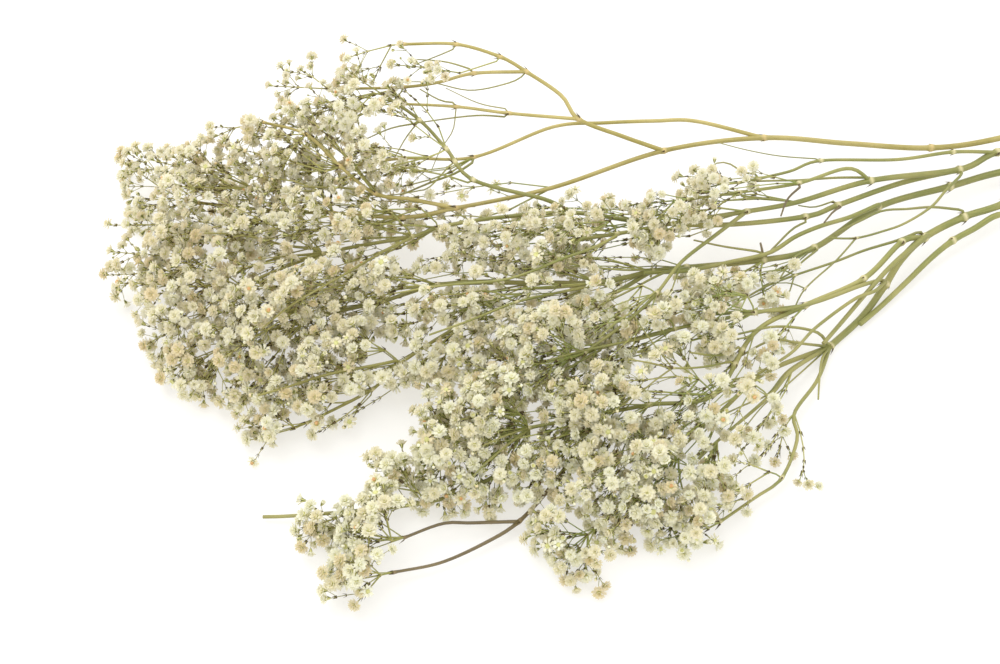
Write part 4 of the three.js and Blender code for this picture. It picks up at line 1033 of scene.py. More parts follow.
class KinkedLine:
    """A stalk that runs straight from each knot to the next: share of its length in, place out."""

    def __init__(self, curve, shares):
        self.shares = [0.0, *shares, 1.0]
        self.corners = np.array([curve.at(share) for share in self.shares])

    def at(self, share):
        return np.array([np.interp(share, self.shares, axis) for axis in self.corners.T])


def arched_curve(start, end, side):
    """A curve from one place to another that arches a little to one side."""
    bend = side * length_of(end - start) * STALK_ARCH
    return ShootCurve(start, mix(start, end, 1 / 3) + bend, mix(start, end, 2 / 3) + bend, end)


def fine_course(start, leave, lead, tip):
    """A way for a fine shoot, with the floret that ends it."""
    floret = Floret(tip, lead, BLOOM_REACH + FLOOR_GAP)
    return ShootCurve(start, leave, lead, floret.neck), floret


class FineGrowth:
    """Stalks that grow and flower wherever there is room for them."""

    def __init__(self, name, seed, room):
        self.name = name
        self.random = SeededRandom(seed)
        self.room = room
        self.strands = []
        self.blooms = []
        self.bracts = []
        self.bearers = []
        self.flowering = 1.0
        self.bloom_scale = 1.0

    def pick(self, kinds):
        """One of some kinds, each as often as its share says."""
        draw = self.random()
        for kind, share in kinds:
            draw -= share
            if draw < 0:
                return kind
        return kinds[-1][0]

    def add_shoot(self, shoot, radii, bare_share, flowering):
        line = KinkedLine(shoot.curve, [knot.place for knot in shoot.knots])
        corners = [shoot.root, *line.corners]
        knots = range(2, len(corners) - 1)
        self.strands.append(Strand(corners, radii, knots, SHOOT_KNOT_WIDTH, self.random()))
        for start, end in zip(line.corners, line.corners[1:]):
            self.room.add(start, end, radii[0])
        for knot in shoot.knots:
            size = self.random.between(*BRACT_SIZES)
            self.bracts.append(Bract(knot.centre, knot.direction, knot.turn, size))
        self.end_in_bloom(shoot.floret, OPEN_KINDS)
        self.bearers.append(Bearer(bare_share, line.at, flowering, self.bloom_scale))

    def add_side_stalk(self, start, floret, kinds):
        curve = arched_curve(start, floret.neck, UP)
        self.add_thin_stalk(curve, SIDE_STALK_RADII)
        self.end_in_bloom(floret, kinds)
        self.bearers.append(Bearer(SIDE_BARE_SHARE, curve.at, self.flowering, self.bloom_scale))

    def add_thin_stalk(self, curve, radii):
        line = [curve.at(share) for share in np.linspace(0, 1, THIN_SAMPLES + 1)]
        self.strands.append(Strand(line, radii, [], SHOOT_KNOT_WIDTH, self.random()))
        self.room.add(line[1], line[-1], radii[0])

    def end_in_bloom(self, floret, kinds):
        kind = self.pick(kinds)
        size = self.random.between(*BLOOM_SIZES) * self.bloom_scale
        self.blooms.append(Bloom(floret.neck, floret.facing, kind, size, self.random()))
        self.room.add_ball(floret.centre, BLOOM_REACH)

    def grow_long(self, start, courses, radii, places, bare_share, flowering):
        """A shoot along the first of some courses that has room, with side stalks at its knots."""
        for curve, floret in courses:
            line = [curve.at(place) for place in SHOOT_ROOM_PLACES]
            if (min(place[2] for place in line) > radii[0]
                    and self.room.is_ball_free(floret.centre, BLOOM_REACH)
                    and all(self.room.is_free(*ends, radii[1]) for ends in zip(line, line[1:]))):
                break
        else:
            return
        first_turn = self.random.between(0, 180)
        knots = [Knot(curve.at(place), curve.direction(place), place, first_turn + 90 * index)
                 for index, place in enumerate(places)]
        self.add_shoot(Shoot(start, curve, knots, floret), radii, bare_share, flowering)
        for knot in knots:
            side_share = flowering if knot.place >= bare_share else LOW_SIDE_SHARE
            for turn in (knot.turn, knot.turn + 180):
                if self.random() < side_share:
                    self.grow_side(knot, turn)

    def find_side_floret(self, place, direction, turn, lean, reach, root_share, radius):
        """A floret to one side of a stalk where it and its own stalk have room, and which side that is."""
        length, spread = lean
        for extra_turn, share in PEDICEL_TRIES:
            outward = outward_at(direction, turn + extra_turn)
            way = direction * math.cos(spread) + outward * math.sin(spread)
            floret = Floret(place + way * length * share, place, reach + FLOOR_GAP)
            start = mix(place, floret.neck, root_share)
            if (self.room.is_ball_free(floret.centre, reach)
                    and self.room.is_free(start, floret.neck, radius)):
                return floret, outward
        return None, None

    def draw_lean(self, lengths):
        """A length and how far to lean from the stalk, in radians."""
        return self.random.between(*lengths), math.radians(self.random.between(*PEDICEL_SPREADS))

    def grow_side(self, knot, turn):
        lean = self.draw_lean(SIDE_STALK_LENGTHS)
        floret, _ = self.find_side_floret(knot.centre, knot.direction, turn, lean, BLOOM_REACH,
                                          SIDE_STALK_ROOT, SIDE_STALK_RADII[0])
        if floret:
            self.add_side_stalk(knot.centre, floret, HALF_OPEN_KINDS)

    def grow_pedicels(self):
        """Opposite pairs of pedicels on the outer part of every stalk, closer together towards its tip."""
        step = 0.02
        for first, at, flowering, bloom_scale in self.bearers:
            length = length_of(at(1) - at(first))
            count = max(1, round(length / PAIR_SPACING))
            turn = self.random.between(0, 180)
            for index in range(count):
                share = mix(first, 1, ((index + PAIR_START) / (count + PAIR_END)) ** CROWDING)
                place = at(share)
                direction = unit(at(min(share + step, 1)) - at(share - step))
                for side in (turn, turn + 180):
                    if self.random() < flowering:
                        self.grow_pedicel(place, direction, side, bloom_scale)
                self.bracts.append(Bract(place, direction, turn, self.random.between(*SMALL_BRACT_SIZES)))
                turn += 90

    def grow_pedicel(self, place, direction, turn, bloom_scale):
        lean = self.draw_lean(PEDICEL_LENGTHS)
        kind = self.pick(PEDICEL_KINDS)
        reach = BUD_REACH if kind in BUD_KINDS else BLOOM_REACH
        floret, outward = self.find_side_floret(place, direction, turn, lean, reach,
                                                PEDICEL_ROOT, PEDICEL_RADII[0])
        if not floret:
            return
        if kind in BUD_KINDS:
            floret.neck = mix(place, floret.neck, BUD_STALK_SHARE)
        self.add_thin_stalk(arched_curve(place, floret.neck, outward), PEDICEL_RADII)
        size = self.random.between(*PEDICEL_BLOOM_SIZES) * bloom_scale
        sway = point(self.random() - 0.5, self.random() - 0.5, self.random() - 0.5) * FACING_SWAY
        self.blooms.append(Bloom(floret.neck, unit(floret.facing + sway), kind, size, self.random()))
        self.room.add_ball(floret.centre, reach)


class FineSpray(FineGrowth):
    """One spray in full: its shoots and side stalks, and thinner twin shoots beside them."""

    def __init__(self, spray, number, room):
        super().__init__(spray.name, FINE_SEED + number, room)
        self.spray = spray
        self.twins, self.flowering, _, _, self.bloom_scale = FULLNESS[SPRAYS[number - 1][0]]
        for shoot in spray.shoots:
            self.add_shoot(shoot, SHOOT_RADII, BARE_SHARE, self.flowering)
        for knot, floret, is_open in spray.side_shoots:
            self.add_side_stalk(knot.centre, floret, OPEN_KINDS if is_open else HALF_OPEN_KINDS)

    def grow_twins(self):
        """Thinner shoots from the same root as each shoot, fanning out round it where there is room."""
        for shoot in self.spray.shoots:
            start = shoot.root
            chord = shoot.floret.neck - start
            turn = self.random.between(0, 360)
            for number in range(self.twins):
                length = max(length_of(chord) * self.random.between(*TWIN_SHARES), LEAST_TWIN_LENGTH)
                places = TWIN_KNOTS if length > LONG_TWIN_LENGTH else TWIN_KNOTS[1:]
                courses = self.twin_courses(start, unit(chord), length, turn + 360 * number / self.twins)
                self.grow_long(start, courses, TWIN_RADII, places, BARE_SHARE, self.flowering)

    def twin_courses(self, start, chord, length, turn):
        spread = math.radians(self.random.between(*TWIN_SPREADS))
        for extra_turn, share in TWIN_TRIES:
            outward = outward_at(chord, turn + extra_turn)
            tip = start + (chord * math.cos(spread) + outward * math.sin(spread)) * length * share
            leave, lead = [mix(start, tip, handle) + outward * length * TWIN_BEND for handle in TWIN_HANDLES]
            yield fine_course(start, leave, lead, tip)


class Offshoots(FineGrowth):
    """Long thin shoots from the limbs of one node: some run beside them, others reach for open places."""

    def __init__(self, node, limbs, room):
        super().__init__(node + "_offshoots", sum(map(ord, node)), room)
        members = {name: limb for name, limb in limbs.items() if limb.node == node}
        for carrier, waypoint, tips in THIN_SHOOTS:
            if carrier in members:
                limb = members[carrier]
                start = limb.path.at(waypoint)
                for tip in tips:
                    courses = self.straight_courses(limb, waypoint, point(*tip))
                    self.grow_long(start, courses, RUNNER_RADII, RUNNER_KNOTS, BARE_SHARE, 1.0)
        for name, limb in members.items():
            _, self.flowering, runners, wands, self.bloom_scale = FULLNESS[name]
            for waypoint in range(FIRST_RUNNER_WAYPOINTS.get(name, 1), limb.path.last):
                self.grow_runners(limb, waypoint, wands, WAND_RADII, WAND_FLOWERING)
                self.grow_runners(limb, waypoint, runners, RUNNER_RADII, self.flowering)

    def grow_runners(self, limb, waypoint, count, radii, flowering):
        for _ in range(count):
            courses = self.runner_courses(limb, waypoint)
            self.grow_long(limb.path.at(waypoint), courses, radii, RUNNER_KNOTS, RUNNER_BARE_SHARE, flowering)

    @staticmethod
    def straight_courses(limb, waypoint, tip):
        """Nearly straight ways to a tip, or to places more and more to one side of it."""
        start = limb.path.at(waypoint)
        onward = unit(tip - start)
        for number in range(RUNNER_TRIES):
            target = tip + outward_at(onward, GOLDEN_TURN * number) * SIDESTEP * number
            handle = length_of(target - start) * CURVE_HANDLE
            leave = start + unit(onward * STRAIGHTNESS + limb.path.direction(waypoint)) * handle
            yield fine_course(start, leave, target - onward * handle, target)

    def runner_courses(self, limb, waypoint):
        """Ways that keep beside a limb, from one waypoint to past the next, each on another side of it."""
        start = limb.path.at(waypoint)
        along = limb.path.direction(waypoint)
        far = min(waypoint + self.random.between(*RUNNER_STRETCH), limb.path.last)
        onward = limb.path.direction(far)
        distance = self.random.between(*RUNNER_DISTANCES)
        turn = self.random.between(0, 360)
        for number in range(RUNNER_TRIES):
            outward = outward_at(onward, turn + GOLDEN_TURN * number)
            tip = limb.path.at(far) + outward * distance
            handle = length_of(tip - start) * CURVE_HANDLE
            sideways = unit(outward - along * (outward @ along))
            leave = start + unit(along + sideways * RUNNER_LEAN) * handle
            yield fine_course(start, leave, tip - onward * handle, tip)


def keep_clear(room, path, first, last):
    """Takes the room in front of a stretch of limb, so that nothing finer grows there."""
    places = [path.at(place) for place in np.arange(first, last + CLEARING_STEP / 2, CLEARING_STEP)]
    for distance in CLEARING_DISTANCES:
        shift = point(*OPEN_SIDE) * distance
        for start, end in zip(places, places[1:]):
            room.add(start + shift, end + shift, CLEARING_RADIUS)


def grow_fine(limbs, sprays):
    """Every spray in full and the offshoots of the limbs, all where the others leave them room."""
    room = TakenRoom()
    for limb in limbs.values():
        fill_limb_room(room, limb, 1)
    for name, first, last in CLEARINGS:
        keep_clear(room, limbs[name].path, first, last)
    for *place, radius in OPEN_PLACES:
        reach = point(*OPEN_SIDE) * OPEN_DEPTH
        room.add(point(*place) - reach, point(*place) + reach, radius)
    fine_sprays = [FineSpray(spray, number, room) for number, spray in enumerate(sprays, 1)]
    offshoots = [Offshoots(node, limbs, room) for node in OFFSHOOT_NODES]
    for fine_spray in fine_sprays:
        fine_spray.grow_twins()
    for growth in [*fine_sprays, *offshoots]:
        growth.grow_pedicels()
    return fine_sprays, offshoots


# ---- Working with Blender's tools ----

def in_frame(place):
    """A typed place, or several, in metres in the frame."""
    return (place + SHIFT) * MM


def select_only(*pieces):
    bpy.ops.object.select_all(action="DESELECT")
    for piece in pieces:
        piece.select_set(True)
    bpy.context.view_layer.objects.active = pieces[0]


def edit(piece):
    """Starts editing one piece with all of it selected."""
    select_only(piece)
    bpy.ops.object.mode_set(mode="EDIT")
    bpy.ops.mesh.select_all(action="SELECT")


def stop_editing():
    bpy.ops.object.mode_set(mode="OBJECT")


def select_parts(piece, kind, is_chosen):
    """Selects the vertices or polygons of a piece that pass a test, in edit mode."""
    bpy.ops.mesh.select_all(action="DESELECT")
    bpy.ops.object.mode_set(mode="OBJECT")
    for part in getattr(piece.data, kind):
        part.select = is_chosen(part)
    bpy.ops.object.mode_set(mode="EDIT")


def select_places(piece, is_chosen):
    """Selects the vertices whose place passes a test, in edit mode."""
    select_parts(piece, "vertices", lambda vertex: is_chosen(vertex.co))


def join(name, pieces):
    """One piece of several, named anew."""
    select_only(*pieces)
    if len(pieces) > 1:
        bpy.ops.object.join()
    joined = bpy.context.view_layer.objects.active
    joined.name = name
    joined.data.name = name
    return joined


def smooth(piece, angle):
    select_only(piece)
    bpy.ops.object.shade_smooth_by_angle(angle=math.radians(angle))


def write_values(piece, name, values):
    """Stores one number for each vertex, for the materials to read."""
    attribute = piece.data.attributes.new(name, "FLOAT", "POINT")
    attribute.data.foreach_set("value", np.asarray(values, dtype=np.float32))


def write_grain(piece, directions):
    """Stores where each vertex lies along and around its stalk, for the streaks."""
    attribute = piece.data.attributes.new("grain", "FLOAT_VECTOR", "POINT")
    attribute.data.foreach_set("vector", np.asarray(directions, dtype=np.float32).ravel())


# ---- Stalks ----

def make_strands(name, strands, sides_level, material):
    """One piece of closed round tubes, one for each strand."""
    curve = bpy.data.curves.new(name, "CURVE")
    curve.dimensions = "3D"
    curve.bevel_depth = MM
    curve.bevel_resolution = sides_level
    sides = 4 + 2 * sides_level
    turns = np.arange(sides) * 2 * math.pi / sides
    swellings = []
    tones = []
    grains = []
    for strand in strands:
        places, radii, swelling, stations = strand.rings()
        spline = curve.splines.new("POLY")
        spline.points.add(len(places) - 1)
        corners = np.ones((len(places), 4))
        corners[:, :3] = in_frame(places)
        spline.points.foreach_set("co", corners.ravel())
        spline.points.foreach_set("radius", radii)
        swellings.append(np.repeat(swelling, sides))
        tones.append(np.full(len(places) * sides, strand.tone))
        around = np.tile(turns, len(places))
        grains.append(np.stack((np.repeat(stations, sides), np.cos(around), np.sin(around)), 1))
    piece = bpy.data.objects.new(name, curve)
    bpy.context.collection.objects.link(piece)
    select_only(piece)
    bpy.ops.object.convert(target="MESH")
    piece = bpy.context.view_layer.objects.active
    piece.data.materials.append(material)
    edit(piece)
    bpy.ops.mesh.fill_holes(sides=0)
    bpy.ops.mesh.normals_make_consistent(inside=False)
    stop_editing()
    write_values(piece, "along", np.concatenate(swellings))
    write_values(piece, "tone", np.concatenate(tones))
    write_grain(piece, np.concatenate(grains))
    smooth(piece, TUBE_SMOOTH_ANGLE)
    return piece


def limb_strand(limb, tone):
    """A limb's line from inside whatever carries it, with a knot wherever something grows."""
    samples = round(limb.path.last * LIMB_SAMPLES)
    line = [limb.path.at(index / LIMB_SAMPLES) for index in range(samples + 1)]
    if limb.root is not None:
        line[0] = limb.root
    knots = [round(waypoint * LIMB_SAMPLES) for waypoint in sorted(limb.knots)]
    return Strand(line, limb.radii, knots, LIMB_KNOT_WIDTH, tone)


def limb_leaves(limb, leaf, random):
    """The dead leaf pair at each of a limb's knots, on the outside of the swelling."""
    for waypoint in sorted(limb.knots):
        direction = limb.path.direction(waypoint)
        turn = random.between(0, 180)
        for side in (turn, turn + 180):
            foot = outward_at(direction, side) * limb.radius_at(waypoint) * LEAF_FOOT
            place = limb.path.at(waypoint) + foot
            yield plant_beside(leaf, place, direction, side, random.between(*LEAF_SIZES), random())


def make_limb_piece(node, limbs, material, leaf):
    """All the limbs of one node, with their dead leaves."""
    random = SeededRandom(sum(map(ord, node)))
    members = [limb for limb in limbs.values() if limb.node == node]
    strands = [limb_strand(limb, random()) for limb in members]
    tubes = make_strands(node + "_wood", strands, LIMB_SIDES_LEVEL, material)
    leaves = [piece for limb in members for piece in limb_leaves(limb, leaf, random)]
    wood = join(node + "_wood", [tubes, *leaves])
    settle(wood)
    return wood


def show_cut(piece, material):
    """Pale pith inside the rim of the end where the stem was cut."""
    piece.data.materials.append(material)
    furthest = max(vertex.co.x for vertex in piece.data.vertices)
    edit(piece)
    cut_start = furthest - CUT_REACH * MM
    select_parts(piece, "polygons", lambda face: len(face.vertices) > 4 and face.center.x > cut_start)
    bpy.ops.mesh.inset(thickness=CUT_RIM * MM, depth=-CUT_DEPTH * MM)
    stop_editing()
    for face in piece.data.polygons:
        if face.select:
            face.material_index = len(piece.data.materials) - 1


def settle(piece):
    """Presses what would hang below the floor flat against it."""
    places = np.empty(len(piece.data.vertices) * 3)
    piece.data.vertices.foreach_get("co", places)
    press = PRESS_HEIGHT * MM
    heights = places[2::3]
    places[2::3] = np.where(heights < press, press * np.exp(np.minimum(heights, press) / press - 1), heights)
    piece.data.vertices.foreach_set("co", places)


# ---- Florets, modelled at one unit to the millimetre ----

def add_petal(length, width):
    """A petal along +Y: narrow at its foot, widest past the middle, notched, hollow along its middle."""
    hollow = length * PETAL_HOLLOW
    bpy.ops.mesh.primitive_cone_add(vertices=6, radius1=1, radius2=0, depth=PETAL_THICKNESS,
                                    end_fill_type="NGON", rotation=(0, math.pi, 0))
    petal = bpy.context.object
    bpy.ops.object.transform_apply(rotation=True)
    edit(petal)
    bpy.ops.transform.resize(value=(width / 2 / HEXAGON_HALF_WIDTH, length / 2, 1))
    bpy.ops.transform.translate(value=(0, length / 2, 0))
    # Its six corners now lie at the foot, at a quarter and three quarters of the length, and at the tip
    select_places(petal, lambda place: place.y < length * 0.3 and abs(place.x) > width * 0.1)
    bpy.ops.transform.translate(value=(0, length * PETAL_SHOULDER_RISE, hollow))
    select_places(petal, lambda place: abs(place.y - length * 0.75) < 0.01 * length)
    bpy.ops.transform.resize(value=(PETAL_TIP_WIDTH, 1, 1), center_override=(0, 0, 0))
    bpy.ops.transform.translate(value=(0, length * PETAL_TIP_RISE, hollow))
    select_places(petal, lambda place: is_middle(place) and place.y > length * 0.95)
    bpy.ops.transform.translate(value=(0, -length * PETAL_NOTCH, 0))
    select_places(petal, lambda place: is_middle(place) and place.z > 0)
    bpy.ops.mesh.vert_connect()
    stop_editing()
    return petal


def is_middle(place):
    return abs(place.x) < 0.001


def add_petal_row(row, seed, material):
    """Petals side by side round the middle of a floret."""
    count, length, width, rise, inset, height, crumple = row
    petal = add_petal(length, width)
    petal.data.materials.append(material)
    edit(petal)
    bpy.ops.transform.rotate(value=-math.radians(rise), orient_axis="X", center_override=(0, 0, 0))
    bpy.ops.transform.translate(value=(0, inset, height))
    bpy.ops.mesh.spin(steps=count - 1, dupli=True, angle=2 * math.pi * (count - 1) / count,
                      center=(0, 0, 0), axis=(0, 0, 1))
    bpy.ops.mesh.select_all(action="SELECT")
    bpy.ops.transform.vertex_random(offset=crumple, seed=seed)
    bpy.ops.mesh.normals_make_consistent(inside=False)
    stop_editing()
    return petal


def add_calyx(materials):
    """The green cup under the petals: five ribs that end in points, with pale skin between them."""
    bpy.ops.mesh.primitive_cone_add(vertices=10, radius1=CALYX_RADII[0], radius2=CALYX_RADII[1],
                                    depth=CALYX_HEIGHT, location=(0, 0, CALYX_HEIGHT / 2))
    calyx = bpy.context.object
    bpy.ops.object.transform_apply(location=True)
    calyx.data.materials.append(materials["rib"])
    calyx.data.materials.append(materials["skin"])
    edit(calyx)
    select_places(calyx, lambda place: place.z > CALYX_HEIGHT / 2 and is_rib(place))
    bpy.ops.transform.translate(value=(0, 0, CALYX_TOOTH))
    bpy.ops.transform.resize(value=(CALYX_FLARE, CALYX_FLARE, 1), center_override=(0, 0, 0))
    stop_editing()
    for face in calyx.data.polygons:
        face.material_index = 0 if face.index % 2 else 1
    return calyx


def is_rib(place):
    """Whether a corner of the calyx is one of the five that are drawn out into points."""
    tenths_of_turn = math.degrees(math.atan2(place.y, place.x)) / 36
    return round(tenths_of_turn - 0.5) % 2 == 0


def add_bud(name, radius, length, tip_share, materials):
    """A closed bud: striped green, with the petals' tips showing at its end."""
    bpy.ops.mesh.primitive_uv_sphere_add(segments=8, ring_count=5, radius=radius)
    bud = bpy.context.object
    for material in (materials["rib"], materials["skin"], materials["petal"]):
        bud.data.materials.append(material)
    edit(bud)
    bpy.ops.transform.resize(value=(1, 1, length / radius / 2))
    bpy.ops.transform.translate(value=(0, 0, length / 2))
    select_places(bud, lambda place: place.z > length * BUD_SHOULDER)
    bpy.ops.transform.resize(value=(BUD_TIP_WIDTH, BUD_TIP_WIDTH, 1), center_override=(0, 0, 0))
    stop_editing()
    for face in bud.data.polygons:
        eighths_of_turn = math.degrees(math.atan2(face.center.y, face.center.x)) / 45
        is_tip = face.center.z > length * (1 - tip_share)
        face.material_index = 2 if is_tip else math.floor(eighths_of_turn) % 2
    write_values(bud, "along", [min(1, vertex.co.z / length) for vertex in bud.data.vertices])
    write_values(bud, "tone", np.zeros(len(bud.data.vertices)))
    bud.name = name
    return bud


def add_heart(material):
    """The brown, shrivelled middle of an old floret."""
    bpy.ops.mesh.primitive_ico_sphere_add(subdivisions=1, radius=HEART_RADIUS, location=(0, 0, HEART_HEIGHT))
    heart = bpy.context.object
    bpy.ops.object.transform_apply(location=True)
    heart.data.materials.append(material)
    edit(heart)
    bpy.ops.transform.vertex_random(offset=HEART_CRUMPLE, seed=7)
    stop_editing()
    return heart


def add_floret(name, rows, seed, materials):
    """A floret of several rows of petals standing in a calyx, its neck at the middle of the world."""
    parts = [add_calyx(materials)]
    for index, row in enumerate(rows):
        parts.append(add_petal_row(row, seed + index, materials["petal"]))
    if name == "aged":
        parts.append(add_heart(materials["heart"]))
    floret = join(name, parts)
    places = np.array([vertex.co for vertex in floret.data.vertices])
    reach = np.sqrt(places[:, 0] ** 2 + places[:, 1] ** 2 + (places[:, 2] - CALYX_HEIGHT) ** 2)
    write_values(floret, "along", np.clip(reach / PETAL_REACH, 0, 1))
    write_values(floret, "tone", np.zeros(len(places)))
    smooth(floret, PETAL_SMOOTH_ANGLE)
    return floret


def make_bloom_kinds(materials):
    """One of each kind of floret and bud, to be copied."""
    kinds = {}
    for number, (name, rows) in enumerate(FLORETS.items(), 1):
        kinds[name] = add_floret(name, rows, 10 * number + 1, materials)
    for name, (radius, length, tip_share) in BUDS.items():
        kinds[name] = add_bud(name, radius, length, tip_share, materials)
    return kinds


def make_leaf(material):
    """A small dead leaf, flat and pointed, that leans out from its foot."""
    bpy.ops.mesh.primitive_cone_add(vertices=4, radius1=LEAF_HALF_WIDTH, radius2=0, depth=LEAF_LENGTH,
                                    end_fill_type="NGON")
    leaf = bpy.context.object
    leaf.data.materials.append(material)
    edit(leaf)
    bpy.ops.transform.resize(value=(LEAF_FLATNESS, 1, 1))
    bpy.ops.transform.translate(value=(0, 0, LEAF_LENGTH / 2))
    select_places(leaf, lambda place: place.z > LEAF_LENGTH / 2)
    bpy.ops.transform.translate(value=(LEAF_LEAN, 0, 0))
    stop_editing()
    write_values(leaf, "along", [vertex.co.z / LEAF_LENGTH for vertex in leaf.data.vertices])
    write_values(leaf, "tone", np.zeros(len(leaf.data.vertices)))
    leaf.name = "leaf"
    return leaf


def make_leaf_pair(leaf):
    """Two of the leaf, one to each side of a thin stalk."""
    pair = bpy.data.objects.new("leaf_pair", leaf.data.copy())
    bpy.context.collection.objects.link(pair)
    edit(pair)
    bpy.ops.transform.translate(value=(PAIR_FOOT, 0, 0))
    bpy.ops.mesh.spin(steps=1, dupli=True, angle=math.pi, center=(0, 0, 0), axis=(0, 0, 1))
    bpy.ops.mesh.select_all(action="SELECT")
    bpy.ops.mesh.normals_make_consistent(inside=False)
    stop_editing()
    return pair


def plant(pattern, place, facing, turn, size, tone):
    """A copy of a pattern with a mesh of its own, standing at a place and facing along a direction."""
    mesh = pattern.data.copy()
    rotation = Vector(facing).to_track_quat("Z", "Y").to_matrix().to_4x4()
    spin = Matrix.Rotation(turn, 4, "Z")
    mesh.transform(Matrix.Translation(in_frame(place)) @ rotation @ spin @ Matrix.Scale(size * MM, 4))
    mesh.attributes["tone"].data.foreach_set("value", np.full(len(mesh.vertices), tone, dtype=np.float32))
    copy = bpy.data.objects.new(pattern.name, mesh)
    bpy.context.collection.objects.link(copy)
    return copy


def plant_beside(pattern, place, direction, turn, size, tone):
    """A copy that stands along a stalk and turns its front to one side of it."""
    front = np.array(Vector(direction).to_track_quat("Z", "Y") @ Vector((1, 0, 0)))
    outward = outward_at(direction, turn)
    spin = math.atan2(outward @ cross(direction, front), outward @ front)
    return plant(pattern, place, direction, spin, size, tone)


def make_growth_piece(growth, name, kinds, leaf_pair, material):
    """Some stalks, with the dead leaves and everything that flowers on them."""
    parts = [make_strands(name, growth.strands, STALK_SIDES_LEVEL, material)]
    for bloom in growth.blooms:
        turn = growth.random.between(0, 2 * math.pi)
        parts.append(plant(kinds[bloom.kind], bloom.neck, bloom.facing, turn, bloom.size, bloom.tone))
    for bract in growth.bracts:
        parts.append(plant_beside(leaf_pair, *bract, growth.random()))
    piece = join(name, parts)
    settle(piece)
    return piece


# ---- Materials ----

# A colour mix's sockets: the node has others of the same names for plain numbers and vectors
MIX_SHARE = 0
MIX_FIRST = 6
MIX_SECOND = 7
MIX_RESULT = 2
WHITE = (1, 1, 1, 1)


def colour(red, green, blue):
    """A material's colour from the usual 0 to 255 of a screen."""
    shares = [value / 255 for value in (red, green, blue)]
    linear = [share / 12.92 if share <= 0.04045 else ((share + 0.055) / 1.055) ** 2.4 for share in shares]
    return (*linear, 1.0)


def set_input(tree, socket, value):
    """Links a node's input to another node's output, or sets it to a fixed value."""
    if isinstance(value, bpy.types.NodeSocket):
        tree.links.new(value, socket)
    else:
        socket.default_value = value


def new_group(name, inputs, outputs):
    """An empty effect with named inputs and outputs."""
    group = bpy.data.node_groups.new(name, "ShaderNodeTree")
    for socket_name, (kind, value) in inputs.items():
        group.interface.new_socket(socket_name, in_out="INPUT", socket_type=kind).default_value = value
    for socket_name, kind in outputs.items():
        group.interface.new_socket(socket_name, in_out="OUTPUT", socket_type=kind)
    return group, group.nodes.new("NodeGroupInput").outputs, group.nodes.new("NodeGroupOutput").inputs


def add_noise(tree, vector, scale, detail):
    noise = tree.nodes.new("ShaderNodeTexNoise")
    noise.inputs["Detail"].default_value = detail
    set_input(tree, noise.inputs["Scale"], scale)
    tree.links.new(vector, noise.inputs["Vector"])
    return noise.outputs["Fac"]


def add_attribute(tree, name, output="Fac"):
    attribute = tree.nodes.new("ShaderNodeAttribute")
    attribute.attribute_name = name
    return attribute.outputs[output]


def add_object_place(tree):
    return tree.nodes.new("ShaderNodeTexCoord").outputs["Object"]


def add_range(tree, value, low, high, new_low=0.0, new_high=1.0):
    """A value stretched from one range to another, and kept inside it."""
    stretch = tree.nodes.new("ShaderNodeMapRange")
    for name, number in (("From Min", low), ("From Max", high), ("To Min", new_low), ("To Max", new_high)):
        stretch.inputs[name].default_value = number
    tree.links.new(value, stretch.inputs["Value"])
    return stretch.outputs["Result"]


def add_mix(tree, share, first, second, blend="MIX"):
    """Two colours mixed, each a fixed colour or another node's output."""
    mixer = tree.nodes.new("ShaderNodeMix")
    mixer.data_type = "RGBA"
    mixer.blend_type = blend
    set_input(tree, mixer.inputs[MIX_SHARE], share)
    set_input(tree, mixer.inputs[MIX_FIRST], first)
    set_input(tree, mixer.inputs[MIX_SECOND], second)
    return mixer.outputs[MIX_RESULT]


def add_ramp(tree, value, stops):
    """A run of colours, one for each place from 0 to 1."""
    ramp = tree.nodes.new("ShaderNodeValToRGB")
    elements = ramp.color_ramp.elements
    while len(elements) < len(stops):
        elements.new(0.5)
    for element, (place, shade) in zip(elements, stops):
        element.position = place
        element.color = shade
    tree.links.new(value, ramp.inputs["Fac"])
    return ramp.outputs["Color"]


def add_group(tree, group, **values):
    """An effect placed in a material with its own values."""
    node = tree.nodes.new("ShaderNodeGroup")
    node.node_tree = group
    for name, value in values.items():
        set_input(tree, node.inputs[name], value)
    return node.outputs


def new_material(name, roughness, specular):
    """A material with a plain shader, and its nodes."""
    material = bpy.data.materials.new(name)
    material.use_nodes = True
    tree = material.node_tree
    shader = tree.nodes["Principled BSDF"]
    shader.inputs["Roughness"].default_value = roughness
    shader.inputs["Specular IOR Level"].default_value = specular
    return material, tree, shader


def add_bump(tree, shader, height, depth):
    """Relief a given depth in metres."""
    bump = tree.nodes.new("ShaderNodeBump")
    bump.inputs["Distance"].default_value = depth
    tree.links.new(height, bump.inputs["Height"])
    tree.links.new(bump.outputs["Normal"], shader.inputs["Normal"])


GRAIN_STRETCH = (0.05, 1.3, 1.3)
AGED_TINT = (0.5, 0.5, 0.42, 1)
SPECK_TINT = (0.3, 0.24, 0.14, 1)


